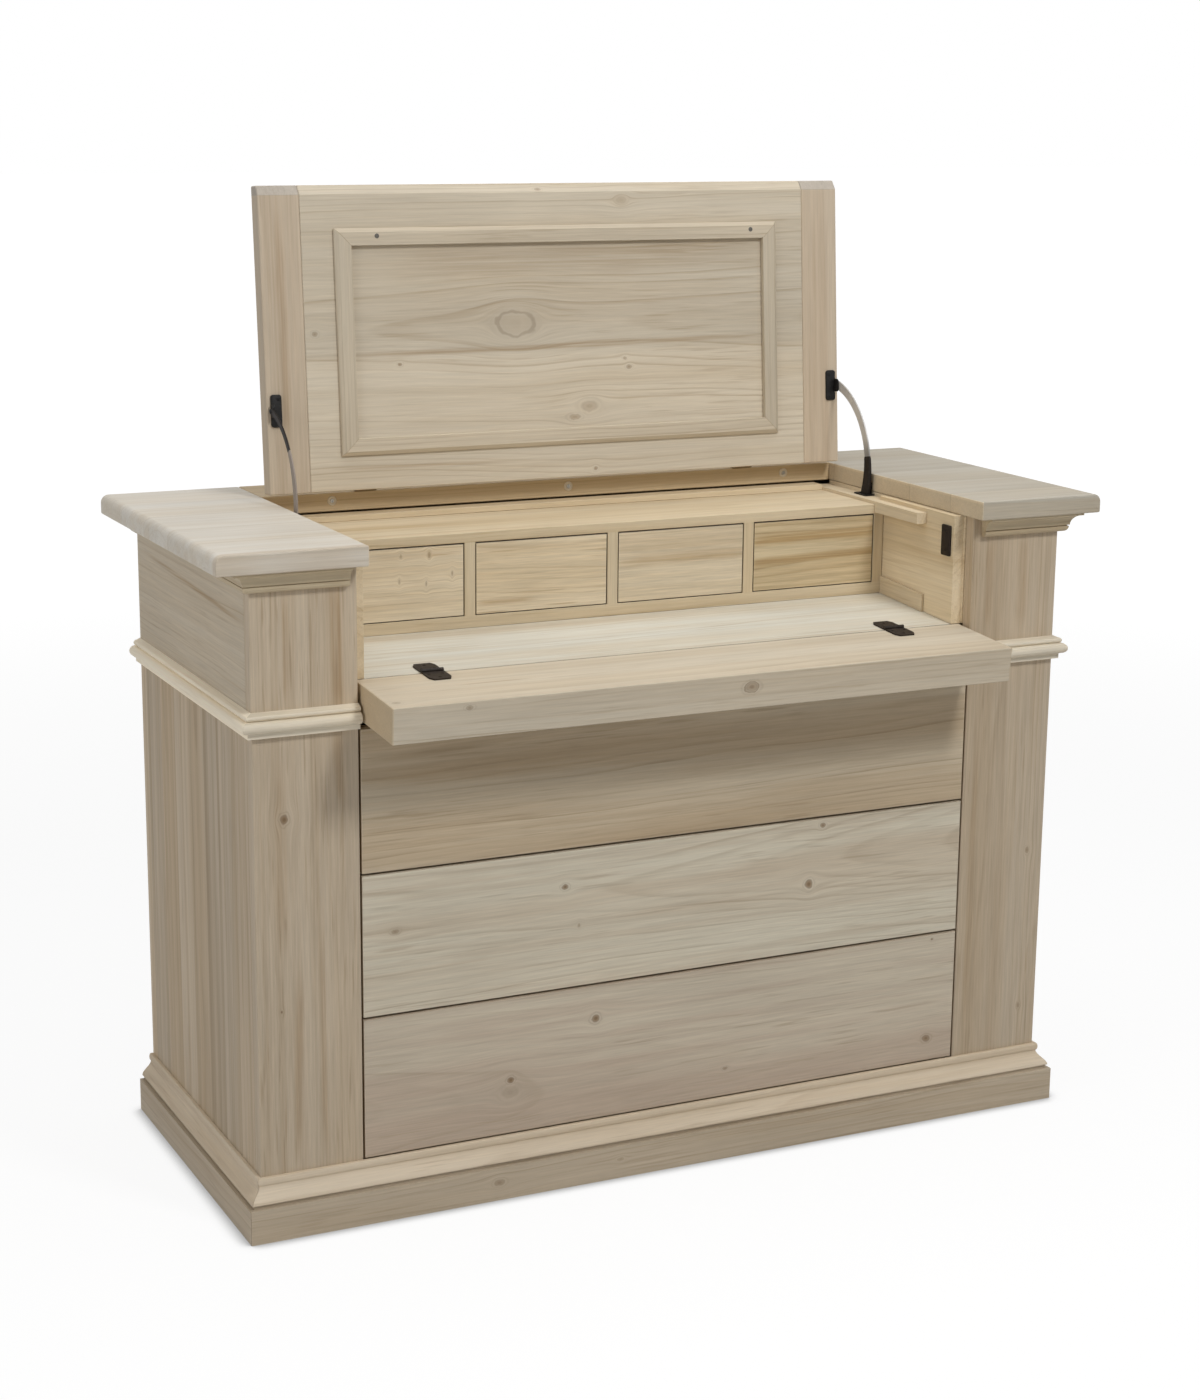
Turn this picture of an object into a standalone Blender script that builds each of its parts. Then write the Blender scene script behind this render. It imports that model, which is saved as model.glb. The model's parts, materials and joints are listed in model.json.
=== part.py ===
"""Chest of drawers in bare softwood, with a lifting lid and a drop front over a writing compartment.

Metres, +Z up, +X to the right of someone who faces the chest, +Y to its back, floor at z = 0.
Every height and depth below is measured from the floor and from the front face of the stiles.
"""

import math

import bmesh
import bpy

# Fits
SEAT = 0.0003
EDGE = 0.0012
SMALL_EDGE = 0.0006

# Body
BODY_W = 1.322
BODY_D = 0.542
TOP_Z = 1.000
SLAB_T = 0.029
SIDE_T = 0.020
STILE_T = 0.022
BACK_T = 0.010
STILE_W = 0.156
BOTTOM_T = 0.020

# Base: plain band, then groove, ogee, neck and bead
BAND_H = 0.0514
BAND_OUT = 0.0230
BASE_H = 0.0922
OGEE_LOW_H = 0.0572
OGEE_OUT = 0.0190
GROOVE_OUT = 0.0160
NECK_H = 0.0800
NECK_OUT = 0.0042
BEAD_OUT = 0.0066

# Waist moulding: step, large bead, small bead
WAIST_DROP = 0.2624
WAIST_H = 0.0361
WAIST_STEP_OUT = 0.0077
WAIST_STEP_H = 0.0085
WAIST_BEAD_R = 0.0082
WAIST_BEAD_OUT = 0.0180
WAIST_TOP_BEAD_R = 0.0042
WAIST_TOP_BEAD_OUT = 0.0108

# Cornice: quarter round, groove, hollow and a narrow lip
CORNICE_H = 0.0297
CORNICE_OUT = 0.0283
CORNICE_LIP_H = 0.0030
HOLLOW_FOOT_H = 0.0105
HOLLOW_FOOT_OUT = 0.0130
QUARTER_H = 0.0085
QUARTER_LOW_OUT = 0.0058
QUARTER_OUT = 0.0120
CORNICE_GROOVE_OUT = 0.0100
CORNICE_END_INSET = 0.0135

# Top slabs and the lid between them
SLAB_SIDE_OUT = 0.0553
SLAB_FRONT_OUT = 0.0326
SLAB_ROUND = 0.0120
SLAB_EDGE = 0.0025
SLAB_LAP = 0.0075
LID_SIDE_GAP = 0.0030
LID_AXIS_Y = 0.427
LID_LEAN = math.radians(4.5)
LID_END_W = 0.0645
LID_CHAMFER_FACE = 0.014
LID_CHAMFER_EDGE = 0.009

# Frame of moulding on the lid's inner face
FRAME_SIDE_INSET = 0.0510
FRAME_LOW = 0.0540
FRAME_TOP_INSET = 0.0646
FRAME_MEMBER_W = 0.0260
FRAME_T = 0.0090
FRAME_BEVEL_W = 0.0060
FRAME_LIP_T = 0.0040

# Writing compartment
WRITING_DROP = 0.1995
WRITING_T = 0.020
WRITING_SLOPE = math.radians(3.7)
FLAP_AXIS_Y = 0.027
FLAP_SIDE_GAP = 0.0045
FLAP_REACH = 0.150
FLAP_T = 0.052
APRON_T = 0.020
APRON_DROP = 0.0640
PANEL_T = 0.019
PANEL_LEAD = 0.0015
PANEL_CASE_LAP = 0.014
TONGUE_W = 0.014
TONGUE_D = 0.016
TONGUE_LAP = 0.0015
TONGUE_DROP = 0.0010
FOOT_STRIP_T = 0.004
FOOT_STRIP_H = 0.0285
STRIP_SETBACK = 0.0795

# Ledges that the lid's ends come down over
LEDGE_LIP_W = 0.018
LEDGE_DROP = 0.0065
LEDGE_LIP_H = 0.0175
LEDGE_SIDE_GAP = 0.0010
LEDGE_RIM_GAP = 0.0010
LEDGE_RIM_INSET = 0.0003
LEDGE_RIM_LAP = 0.0020

# Case of small drawers
CASE_FRONT_Y = 0.232
CASE_D = 0.205
CASE_SIDE_GAP = 0.0010
CASE_DROP = 0.0115
CASE_TOP_T = 0.0150
CASE_OPENING_H = 0.1120
UPRIGHT_T = 0.0177
SMALL_COUNT = 4
SMALL_GAP = 0.0015
SMALL_FRONT_T = 0.016
SMALL_BACK_ROOM = 0.017
SMALL_WALL_T = 0.008
SMALL_TRAY_DROP = 0.018
BACK_STRIP_T = 0.0297
BACK_STRIP_H = 0.0092

# Large drawers
LARGE_COUNT = 3
LARGE_BASE_GAP = 0.0013
LARGE_WAIST_GAP = 0.0026
LARGE_GAP = 0.0035
LARGE_SIDE_GAP = 0.0030
LARGE_FRONT_T = 0.022
LARGE_BACK_ROOM = 0.0597
LARGE_WALL_T = 0.012
LARGE_TRAY_INSET = 0.0010
LARGE_TRAY_DROP = 0.022
RUNNER_RISE = 0.0020
RUNNER_T = 0.0120
RUNNER_W = 0.0300
GUIDE_T = 0.018

# Surface hinges
HINGE_W = 0.034
HINGE_TIP_W = 0.025
HINGE_LEAF_L = 0.040
HINGE_LEAF_T = 0.0020
HINGE_PIN_R = 0.0030
HINGE_PLAY = 0.0003
JOINT_GAP = 0.0012
FLAP_HINGE_INSET = 0.1175
LID_HINGE_INSET = 0.1645

# Lid stays: curved strips about the lid's axis
STAY_R = 0.134
STAY_INSET = 0.0045
STAY_W = 0.012
STAY_T = 0.0020
STAY_TAIL = math.radians(9.0)
STAY_STEP = math.radians(4.0)
SHOE_ARC_LOW = math.radians(26.0)
SHOE_ARC_HIGH = math.radians(13.0)
SHOE_W = 0.021
SHOE_T = 0.0066
SHOE_NECK_W = 0.0136
SHOE_NECK_T = 0.0042
PLATE_W = 0.017
PLATE_H = 0.049
PLATE_T = 0.0030
EAR_T = 0.0026
EAR_GAP = 0.0004
EAR_H = 0.021
EAR_OUT = 0.0145
FLANGE_RIM = 0.004
FLANGE_T = 0.0020
FLANGE_EAR_H = 0.0200
FLANGE_EAR_W = 0.0190
SLOT_CLEAR = 0.0020

# Catch plate on the right inner panel
CATCH_SETBACK = 0.0075
CATCH_DROP = 0.0170
CATCH_W = 0.025
CATCH_H = 0.048
CATCH_T = 0.0025

# Rounding of the curved outlines
ARC_STEPS = 8
SMOOTH_ANGLE = math.radians(35)
BEVEL_ANGLE = math.radians(40)

# Worked out from the sizes above
HALF_W = BODY_W / 2
OPENING_W = BODY_W - 2 * STILE_W
SLAB_LOW_Z = TOP_Z - SLAB_T
BODY_TOP_Z = SLAB_LOW_Z - SEAT
WAIST_Z = TOP_Z - WAIST_DROP
WRITING_Z = TOP_Z - WRITING_DROP
APRON_LOW_Z = WRITING_Z - APRON_DROP
CASE_TOP_Z = SLAB_LOW_Z - CASE_DROP
CASE_FLOOR_Z = CASE_TOP_Z - CASE_TOP_T - CASE_OPENING_H
LARGE_LOW_Z = BASE_H + LARGE_BASE_GAP
LARGE_TOP_Z = WAIST_Z - LARGE_WAIST_GAP
INSIDE_HALF = HALF_W - SIDE_T - SEAT
INSIDE_FRONT_Y = STILE_T + SEAT
INSIDE_BACK_Y = BODY_D - BACK_T - SEAT
SIDE_JOINT_Z = WAIST_Z + WAIST_H / 2
PIN_RISE = HINGE_PIN_R + HINGE_PLAY
LID_AXIS_Z = TOP_Z + PIN_RISE
LID_L = LID_AXIS_Y + SLAB_FRONT_OUT
LID_OPENING_W = OPENING_W - 2 * SLAB_LAP
LID_HALF = LID_OPENING_W / 2 - LID_SIDE_GAP
LID_JOINT_X = LID_HALF - LID_END_W
FRAME_HIGH = LID_L - FRAME_TOP_INSET
STAY_X = LID_HALF - STAY_INSET
LID_HINGE_X = LID_HALF - LID_HINGE_INSET
FLAP_W = OPENING_W - 2 * FLAP_SIDE_GAP
FLAP_HINGE_X = FLAP_W / 2 - FLAP_HINGE_INSET
LID_INNER_Y = -PIN_RISE - SLAB_T
FLAP_AXIS_Z = WRITING_Z + PIN_RISE
SLOPE_SIN = math.sin(WRITING_SLOPE)
SLOPE_COS = math.cos(WRITING_SLOPE)
FLAP_FRONT_Y = FLAP_AXIS_Y - FLAP_REACH * SLOPE_COS + PIN_RISE * SLOPE_SIN
PANEL_FACE = OPENING_W / 2 - PANEL_T
PANEL_FRONT_Y = FLAP_AXIS_Y - PANEL_LEAD
PANEL_BACK_Y = CASE_FRONT_Y + PANEL_CASE_LAP
STRIP_FRONT_Y = PANEL_FRONT_Y + STRIP_SETBACK
CASE_HALF = PANEL_FACE - CASE_SIDE_GAP
LEDGE_NEAR_X = PANEL_FACE - LEDGE_LIP_W
LEDGE_FAR_X = OPENING_W / 2 - LEDGE_SIDE_GAP
LEDGE_BACK_Y = LID_AXIS_Y + JOINT_GAP - SEAT
LEDGE_TOP_Z = SLAB_LOW_Z - LEDGE_DROP
LEDGE_LOW_Z = CASE_TOP_Z + SEAT
BODY_CENTRE_Y = (BODY_D + FLAP_FRONT_Y) / 2

# Looks: base colour, roughness, metallic
PALE_WOOD = ((0.66, 0.55, 0.42), 0.62, 0.0)
WARM_WOOD = ((0.70, 0.55, 0.37), 0.60, 0.0)
GREY_WOOD = ((0.58, 0.50, 0.41), 0.66, 0.0)
BLACK_METAL = ((0.012, 0.012, 0.013), 0.45, 0.9)
STEEL = ((0.52, 0.51, 0.49), 0.32, 1.0)


def clear_scene():
    for obj in list(bpy.data.objects):
        bpy.data.objects.remove(obj, do_unlink=True)


def principled(name, look):
    colour, roughness, metallic = look
    material = bpy.data.materials.new(name)
    material.use_nodes = True
    shader = material.node_tree.nodes["Principled BSDF"]
    shader.inputs["Base Color"].default_value = (*colour, 1.0)
    shader.inputs["Roughness"].default_value = roughness
    shader.inputs["Metallic"].default_value = metallic
    return material


def empty(name, location, rotation_x=0.0, parent=None):
    obj = bpy.data.objects.new(name, None)
    bpy.context.scene.collection.objects.link(obj)
    obj.location = location
    obj.rotation_euler = (rotation_x, 0.0, 0.0)
    obj.parent = parent
    return obj


def add_object(name, bm, look, parent, smooth=False):
    bmesh.ops.recalc_face_normals(bm, faces=bm.faces)
    mesh = bpy.data.meshes.new(name)
    bm.to_mesh(mesh)
    bm.free()
    mesh.materials.append(principled(name, look))
    if smooth:
        mesh.shade_smooth()
        mesh.set_sharp_from_angle(angle=SMOOTH_ANGLE)
    obj = bpy.data.objects.new(name, mesh)
    bpy.context.scene.collection.objects.link(obj)
    obj.parent = parent
    return obj


def soften(obj, width, segments=1):
    bevel = obj.modifiers.new("edges", "BEVEL")
    bevel.width = width
    bevel.segments = segments
    bevel.limit_method = "ANGLE"
    bevel.angle_limit = BEVEL_ANGLE
    return obj


def combine(obj, tool, operation):
    """Joins or cuts obj with tool for good, and removes tool."""
    boolean = obj.modifiers.new(operation, "BOOLEAN")
    boolean.operation = operation
    boolean.solver = "EXACT"
    boolean.object = tool
    graph = bpy.context.evaluated_depsgraph_get()
    mesh = bpy.data.meshes.new_from_object(obj.evaluated_get(graph))
    obj.modifiers.clear()
    obj.data = mesh
    bpy.data.objects.remove(tool, do_unlink=True)
    return obj


def along(axis, u, v, w):
    """The point w along an axis, with u and v on the two others in X, Y, Z order."""
    if axis == "X":
        return (w, u, v)
    if axis == "Y":
        return (u, w, v)
    return (u, v, w)


def prism(name, outline, axis, low, high, look, parent, smooth=False):
    """An outline drawn square to an axis and carried along it from low to high."""
    bm = bmesh.new()
    near = [bm.verts.new(along(axis, u, v, low)) for u, v in outline]
    far = [bm.verts.new(along(axis, u, v, high)) for u, v in outline]
    bm.faces.new(near)
    bm.faces.new(list(reversed(far)))
    for i in range(len(outline)):
        j = (i + 1) % len(outline)
        bm.faces.new((near[i], near[j], far[j], far[i]))
    return add_object(name, bm, look, parent, smooth)


def rectangle(u, v):
    return [(u[0], v[0]), (u[1], v[0]), (u[1], v[1]), (u[0], v[1])]


def box(name, x, y, z, look, parent):
    return prism(name, rectangle(x, y), "Z", z[0], z[1], look, parent)


def mirrored(side, low, high):
    """A span of x on the right, or its mirror image on the left."""
    return tuple(sorted((side * low, side * high)))


def arc(centre_u, centre_v, radius_u, radius_v, start, end, steps=ARC_STEPS):
    points = []
    for i in range(steps + 1):
        angle = start + (end - start) * i / steps
        points.append((centre_u + radius_u * math.cos(angle), centre_v + radius_v * math.sin(angle)))
    return points


def sweep(name, profile, stations, low_z, look, parent):
    """A moulding: the profile, as (outwards, up), carried from station to station.

    A station is a point in plan and the way that one unit outwards goes there.
    """
    bm = bmesh.new()
    rings = []
    for x, y, out_x, out_y in stations:
        rings.append([bm.verts.new((x + out_x * p, y + out_y * p, low_z + h)) for p, h in profile])
    count = len(profile)
    for near, far in zip(rings, rings[1:]):
        for i in range(count):
            j = (i + 1) % count
            bm.faces.new((near[i], near[j], far[j], far[i]))
    bm.faces.new(rings[0])
    bm.faces.new(list(reversed(rings[-1])))
    return add_object(name, bm, look, parent, smooth=True)


def tray(name, x, y, z, wall, look, parent):
    """An open box with walls and a floor of one thickness."""
    bm = bmesh.new()
    outer = rectangle(x, y)
    inner = rectangle((x[0] + wall, x[1] - wall), (y[0] + wall, y[1] - wall))
    levels = [(outer, z[0]), (outer, z[1]), (inner, z[1]), (inner, z[0] + wall)]
    rings = [[bm.verts.new((px, py, level)) for px, py in outline] for outline, level in levels]
    bm.faces.new(rings[0])
    bm.faces.new(rings[-1])
    for low, high in zip(rings, rings[1:]):
        for i in range(4):
            j = (i + 1) % 4
            bm.faces.new((low[i], low[j], high[j], high[i]))
    return add_object(name, bm, look, parent)


def board_top(y):
    """Height of the sloping writing board's upper face."""
    return FLAP_AXIS_Z + (y - FLAP_AXIS_Y) * math.tan(WRITING_SLOPE) - PIN_RISE / SLOPE_COS


def board_under(y):
    return board_top(y) - WRITING_T / SLOPE_COS


def base_profile():
    ogee = []
    for i in range(ARC_STEPS + 1):
        share = i / ARC_STEPS
        swing = (1 - math.cos(math.pi * share)) / 2
        ogee.append((OGEE_OUT + (NECK_OUT - OGEE_OUT) * swing, OGEE_LOW_H + (NECK_H - OGEE_LOW_H) * share))
    bead_r = (BASE_H - NECK_H) / 2
    bead = arc(NECK_OUT, NECK_H + bead_r, BEAD_OUT - NECK_OUT, bead_r, -math.pi / 2, math.pi / 2)
    return [
        (SEAT, 0.0), (BAND_OUT, 0.0), (BAND_OUT, BAND_H), (GROOVE_OUT, BAND_H),
        (GROOVE_OUT, OGEE_LOW_H), *ogee, *bead[1:], (SEAT, BASE_H),
    ]


def waist_profile():
    bead_h = WAIST_STEP_H + WAIST_BEAD_R
    top_bead_h = WAIST_STEP_H + 2 * WAIST_BEAD_R + WAIST_TOP_BEAD_R
    half = math.pi / 2
    bead = arc(WAIST_BEAD_OUT - WAIST_BEAD_R, bead_h, WAIST_BEAD_R, WAIST_BEAD_R, -half, half)
    top_out = WAIST_TOP_BEAD_OUT - WAIST_TOP_BEAD_R
    top_bead = arc(top_out, top_bead_h, WAIST_TOP_BEAD_R, WAIST_TOP_BEAD_R, -half, half)
    return [
        (SEAT, 0.0), (WAIST_STEP_OUT, 0.0), (WAIST_STEP_OUT, WAIST_STEP_H),
        *bead, *top_bead, (SEAT, WAIST_H),
    ]


def cornice_profile():
    quarter = arc(QUARTER_LOW_OUT, QUARTER_H, QUARTER_OUT - QUARTER_LOW_OUT, QUARTER_H, -math.pi / 2, 0.0)
    hollow_h = CORNICE_H - CORNICE_LIP_H - HOLLOW_FOOT_H
    hollow = arc(CORNICE_OUT, HOLLOW_FOOT_H, HOLLOW_FOOT_OUT - CORNICE_OUT, hollow_h, 0.0, math.pi / 2)
    return [
        (SEAT, 0.0), *quarter, (CORNICE_GROOVE_OUT, QUARTER_H), (CORNICE_GROOVE_OUT, HOLLOW_FOOT_H),
        *hollow, (CORNICE_OUT, CORNICE_H), (SEAT, CORNICE_H),
    ]


def build_base(body):
    profile = base_profile()
    corner = HALF_W - SEAT
    front = [(-corner, 0.0, -1, -1), (corner, 0.0, 1, -1)]
    sweep("base_front", profile, front, 0.0, GREY_WOOD, body)
    for side, name in ((-1, "left"), (1, "right")):
        flank = [(side * HALF_W, SEAT, side, -1), (side * HALF_W, BODY_D, side, 0)]
        sweep(f"base_{name}", profile, flank, 0.0, GREY_WOOD, body)


def build_corner_mouldings(body):
    for side, name in ((-1, "left"), (1, "right")):
        start = (side * OPENING_W / 2, 0.0, 0, -1)
        inset_start = (side * (OPENING_W / 2 + CORNICE_END_INSET), 0.0, 0, -1)
        turn = [(side * HALF_W, 0.0, side, -1), (side * HALF_W, BODY_D, side, 0)]
        sweep(f"waist_moulding_{name}", waist_profile(), [start, *turn], WAIST_Z, PALE_WOOD, body)
        cornice_z = BODY_TOP_Z - CORNICE_H
        sweep(f"cornice_{name}", cornice_profile(), [inset_start, *turn], cornice_z, PALE_WOOD, body)


def build_carcass(body):
    across = (-INSIDE_HALF, INSIDE_HALF)
    within = (INSIDE_FRONT_Y, INSIDE_BACK_Y)
    bottom_z = (BASE_H - SEAT - BOTTOM_T, BASE_H - SEAT)
    soften(box("bottom_panel", across, within, bottom_z, PALE_WOOD, body), EDGE)
    soften(box("back_panel", across, (BODY_D - BACK_T, BODY_D), (0.0, BODY_TOP_Z), PALE_WOOD, body), EDGE)
    for side, name in ((-1, "left"), (1, "right")):
        wall = mirrored(side, HALF_W - SIDE_T, HALF_W)
        depth = (INSIDE_FRONT_Y, BODY_D)
        lower = (0.0, SIDE_JOINT_Z - SEAT)
        upper = (SIDE_JOINT_Z, BODY_TOP_Z)
        soften(box(f"side_{name}", wall, depth, lower, GREY_WOOD, body), EDGE)
        soften(box(f"upper_side_{name}", wall, depth, upper, GREY_WOOD, body), EDGE)
        face = mirrored(side, OPENING_W / 2, HALF_W)
        soften(box(f"stile_{name}", face, (0.0, STILE_T), (0.0, BODY_TOP_Z), PALE_WOOD, body), EDGE)


def build_top(body):
    """Two fixed ends with a broad round along their outer edges, and the strip that carries the lid."""
    inner = LID_OPENING_W / 2
    outer = HALF_W + SLAB_SIDE_OUT
    rounded = arc(outer - SLAB_ROUND, TOP_Z - SLAB_ROUND, SLAB_ROUND, SLAB_ROUND, 0.0, math.pi / 2)
    section = [(inner, SLAB_LOW_Z), (outer, SLAB_LOW_Z), *rounded, (inner, TOP_Z)]
    for side, name in ((-1, "left"), (1, "right")):
        outline = [(side * x, z) for x, z in section]
        slab = prism(f"top_slab_{name}", outline, "Y", -SLAB_FRONT_OUT, BODY_D, PALE_WOOD, body, smooth=True)
        soften(slab, SLAB_EDGE, segments=2)
    across = (SEAT - inner, inner - SEAT)
    depth = (LID_AXIS_Y + JOINT_GAP, BODY_D)
    soften(box("hinge_rail", across, depth, (SLAB_LOW_Z, TOP_Z), WARM_WOOD, body), EDGE)


def build_writing_place(body, board_axis):
    reach = (INSIDE_BACK_Y - FLAP_AXIS_Y - (PIN_RISE + WRITING_T) * SLOPE_SIN) / SLOPE_COS
    across = (-INSIDE_HALF, INSIDE_HALF)
    thick = (-PIN_RISE - WRITING_T, -PIN_RISE)
    soften(box("writing_board", across, (JOINT_GAP, reach), thick, WARM_WOOD, board_axis), EDGE)
    stop_y = FLAP_AXIS_Y - JOINT_GAP * SLOPE_COS + (PIN_RISE + FLAP_T) * SLOPE_SIN + SEAT
    apron = [
        (stop_y, APRON_LOW_Z),
        (stop_y + APRON_T, APRON_LOW_Z),
        (stop_y + APRON_T, board_under(stop_y + APRON_T) - SEAT),
        (stop_y, board_under(stop_y) - SEAT),
    ]
    soften(prism("apron_rail", apron, "X", *across, PALE_WOOD, body), SMALL_EDGE)
    panel = [
        (PANEL_FRONT_Y, board_top(PANEL_FRONT_Y) + SEAT),
        (PANEL_BACK_Y, board_top(PANEL_BACK_Y) + SEAT),
        (PANEL_BACK_Y, BODY_TOP_Z),
        (PANEL_FRONT_Y, BODY_TOP_Z),
    ]
    tongue_y = (INSIDE_FRONT_Y, INSIDE_FRONT_Y + TONGUE_D)
    tongue = [
        (tongue_y[0], board_top(tongue_y[0]) + SEAT + TONGUE_DROP),
        (tongue_y[1], board_top(tongue_y[1]) + SEAT + TONGUE_DROP),
        (tongue_y[1], BODY_TOP_Z - TONGUE_DROP),
        (tongue_y[0], BODY_TOP_Z - TONGUE_DROP),
    ]
    strip_back_y = CASE_FRONT_Y - SEAT
    strip = [
        (STRIP_FRONT_Y, board_top(STRIP_FRONT_Y) + SEAT),
        (strip_back_y, board_top(strip_back_y) + SEAT),
        (strip_back_y, board_top(strip_back_y) + FOOT_STRIP_H),
        (STRIP_FRONT_Y, board_top(STRIP_FRONT_Y) + FOOT_STRIP_H),
    ]
    for side, name in ((-1, "left"), (1, "right")):
        wall = mirrored(side, PANEL_FACE, PANEL_FACE + PANEL_T)
        inner = prism(f"inner_panel_{name}", panel, "X", *wall, WARM_WOOD, body)
        behind = mirrored(side, OPENING_W / 2 - TONGUE_LAP, OPENING_W / 2 + TONGUE_W)
        combine(inner, prism("tongue", tongue, "X", *behind, WARM_WOOD, body), "UNION")
        soften(inner, EDGE)
        foot = mirrored(side, PANEL_FACE - SEAT - FOOT_STRIP_T, PANEL_FACE - SEAT)
        soften(prism(f"foot_strip_{name}", strip, "X", *foot, WARM_WOOD, body), SMALL_EDGE)


def arc_y(radius, z):
    """Where an arc about the lid's axis passes a height below it, in front of the axis."""
    return LID_AXIS_Y - math.sqrt(radius ** 2 - (LID_AXIS_Z - z) ** 2)


def slot_spans():
    """Plan of the slot that the stays' widest section passes on its way through a ledge."""
    front = arc_y(STAY_R + SHOE_W / 2, LEDGE_TOP_Z) - SLOT_CLEAR
    back = arc_y(STAY_R - SHOE_W / 2, LEDGE_LOW_Z) + SLOT_CLEAR
    across = (STAY_X - SHOE_T / 2 - EAR_GAP - SLOT_CLEAR, STAY_X + SHOE_T / 2 + EAR_GAP)
    return across, (front, back)


def build_ledges(body):
    """Ledges along the lid's ends: a deep lip in front of the case, a thin strip over it, a slot, and a rim
    that closes the space below the slab."""
    slot_x, slot_y = slot_spans()
    step_y = PANEL_BACK_Y + SEAT
    near = LEDGE_NEAR_X
    far = LEDGE_FAR_X
    plan = [
        (near, STRIP_FRONT_Y), (PANEL_FACE - SEAT, STRIP_FRONT_Y), (PANEL_FACE - SEAT, step_y),
        (far, step_y), (far, slot_y[0]), (slot_x[0], slot_y[0]), (slot_x[0], slot_y[1]),
        (far, slot_y[1]), (far, LEDGE_BACK_Y), (near, LEDGE_BACK_Y),
    ]
    for side, name in ((-1, "left"), (1, "right")):
        outline = [(side * x, y) for x, y in plan]
        ledge = prism(f"lid_rest_{name}", outline, "Z", LEDGE_LOW_Z, LEDGE_TOP_Z, WARM_WOOD, body)
        lip_x = mirrored(side, near, PANEL_FACE - SEAT)
        lip_z = (LEDGE_TOP_Z - LEDGE_LIP_H, LEDGE_TOP_Z)
        lip = box("lip", lip_x, (STRIP_FRONT_Y, CASE_FRONT_Y - SEAT), lip_z, WARM_WOOD, body)
        combine(ledge, lip, "UNION")
        rim_x = mirrored(side, LID_OPENING_W / 2 + LEDGE_RIM_GAP, far - LEDGE_RIM_INSET)
        rim_y = (step_y + LEDGE_RIM_INSET, LEDGE_BACK_Y - LEDGE_RIM_INSET)
        rim_z = (LEDGE_TOP_Z - LEDGE_RIM_LAP, BODY_TOP_Z)
        combine(ledge, box("rim", rim_x, rim_y, rim_z, WARM_WOOD, body), "UNION")


def build_flanges(body):
    """Slotted plates on the ledges, each with an ear against the slab's edge."""
    slot_x, slot_y = slot_spans()
    outer = LID_OPENING_W / 2 - SEAT
    low_z = LEDGE_TOP_Z + SEAT
    plate_z = (low_z, low_z + FLANGE_T)
    ear_z = (low_z, low_z + FLANGE_EAR_H)
    centre_y = (slot_y[0] + slot_y[1]) / 2
    ear_y = (centre_y - FLANGE_EAR_W / 2, centre_y + FLANGE_EAR_W / 2)
    for side, name in ((-1, "left"), (1, "right")):
        plate_x = mirrored(side, slot_x[0] - FLANGE_RIM, outer)
        plate_y = (slot_y[0] - FLANGE_RIM, slot_y[1] + FLANGE_RIM)
        flange = box(f"stay_flange_{name}", plate_x, plate_y, plate_z, BLACK_METAL, body)
        hole_z = (low_z - FLANGE_T, low_z + 2 * FLANGE_T)
        hole = box("hole", mirrored(side, *slot_x), slot_y, hole_z, BLACK_METAL, body)
        combine(flange, hole, "DIFFERENCE")
        ear = box("ear", mirrored(side, outer - FLANGE_T, outer), ear_y, ear_z, BLACK_METAL, body)
        combine(flange, ear, "UNION")


def upright_lines():
    """Left and right faces of the case's uprights, from left to right."""
    pitch = (2 * CASE_HALF - UPRIGHT_T) / SMALL_COUNT
    return [(i * pitch - CASE_HALF, i * pitch - CASE_HALF + UPRIGHT_T) for i in range(SMALL_COUNT + 1)]


def build_case(body):
    """One open frame of top, base and uprights, whose base is cut to the sloping board."""
    back_y = CASE_FRONT_Y + CASE_D
    outline = [
        (CASE_FRONT_Y, board_top(CASE_FRONT_Y) + SEAT),
        (back_y, board_top(back_y) + SEAT),
        (back_y, CASE_TOP_Z),
        (CASE_FRONT_Y, CASE_TOP_Z),
    ]
    case = prism("drawer_case", outline, "X", -CASE_HALF, CASE_HALF, WARM_WOOD, body)
    lines = upright_lines()
    for left, right in zip(lines, lines[1:]):
        span_y = (CASE_FRONT_Y - SMALL_FRONT_T, back_y + SMALL_FRONT_T)
        span_z = (CASE_FLOOR_Z, CASE_TOP_Z - CASE_TOP_T)
        combine(case, box("place", (left[1], right[0]), span_y, span_z, WARM_WOOD, body), "DIFFERENCE")
    soften(case, SMALL_EDGE)
    strip_half = LEDGE_NEAR_X - SEAT
    strip_z = (CASE_TOP_Z + SEAT, CASE_TOP_Z + BACK_STRIP_H)
    strip_y = (LEDGE_BACK_Y - BACK_STRIP_T, LEDGE_BACK_Y)
    soften(box("case_back_strip", (-strip_half, strip_half), strip_y, strip_z, WARM_WOOD, body), SMALL_EDGE)


def build_small_drawers(body):
    lines = upright_lines()
    top_z = CASE_TOP_Z - CASE_TOP_T - SMALL_GAP
    for number, (left, right) in enumerate(zip(lines, lines[1:]), start=1):
        slide = empty(f"small_slide_{number}", ((left[1] + right[0]) / 2, CASE_FRONT_Y, 0.0), parent=body)
        half = (right[0] - left[1]) / 2 - SMALL_GAP
        front_z = (CASE_FLOOR_Z + SMALL_GAP, top_z)
        drawer = box(f"small_drawer_{number}", (-half, half), (0.0, SMALL_FRONT_T), front_z, WARM_WOOD, slide)
        tray_z = (CASE_FLOOR_Z + SEAT, top_z - SMALL_TRAY_DROP)
        tray_y = (SMALL_FRONT_T / 2, CASE_D - SMALL_BACK_ROOM)
        combine(drawer, tray("tray", (-half, half), tray_y, tray_z, SMALL_WALL_T, WARM_WOOD, slide), "UNION")
        soften(drawer, SMALL_EDGE)


def large_height():
    return (LARGE_TOP_Z - LARGE_LOW_Z - (LARGE_COUNT - 1) * LARGE_GAP) / LARGE_COUNT


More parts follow.
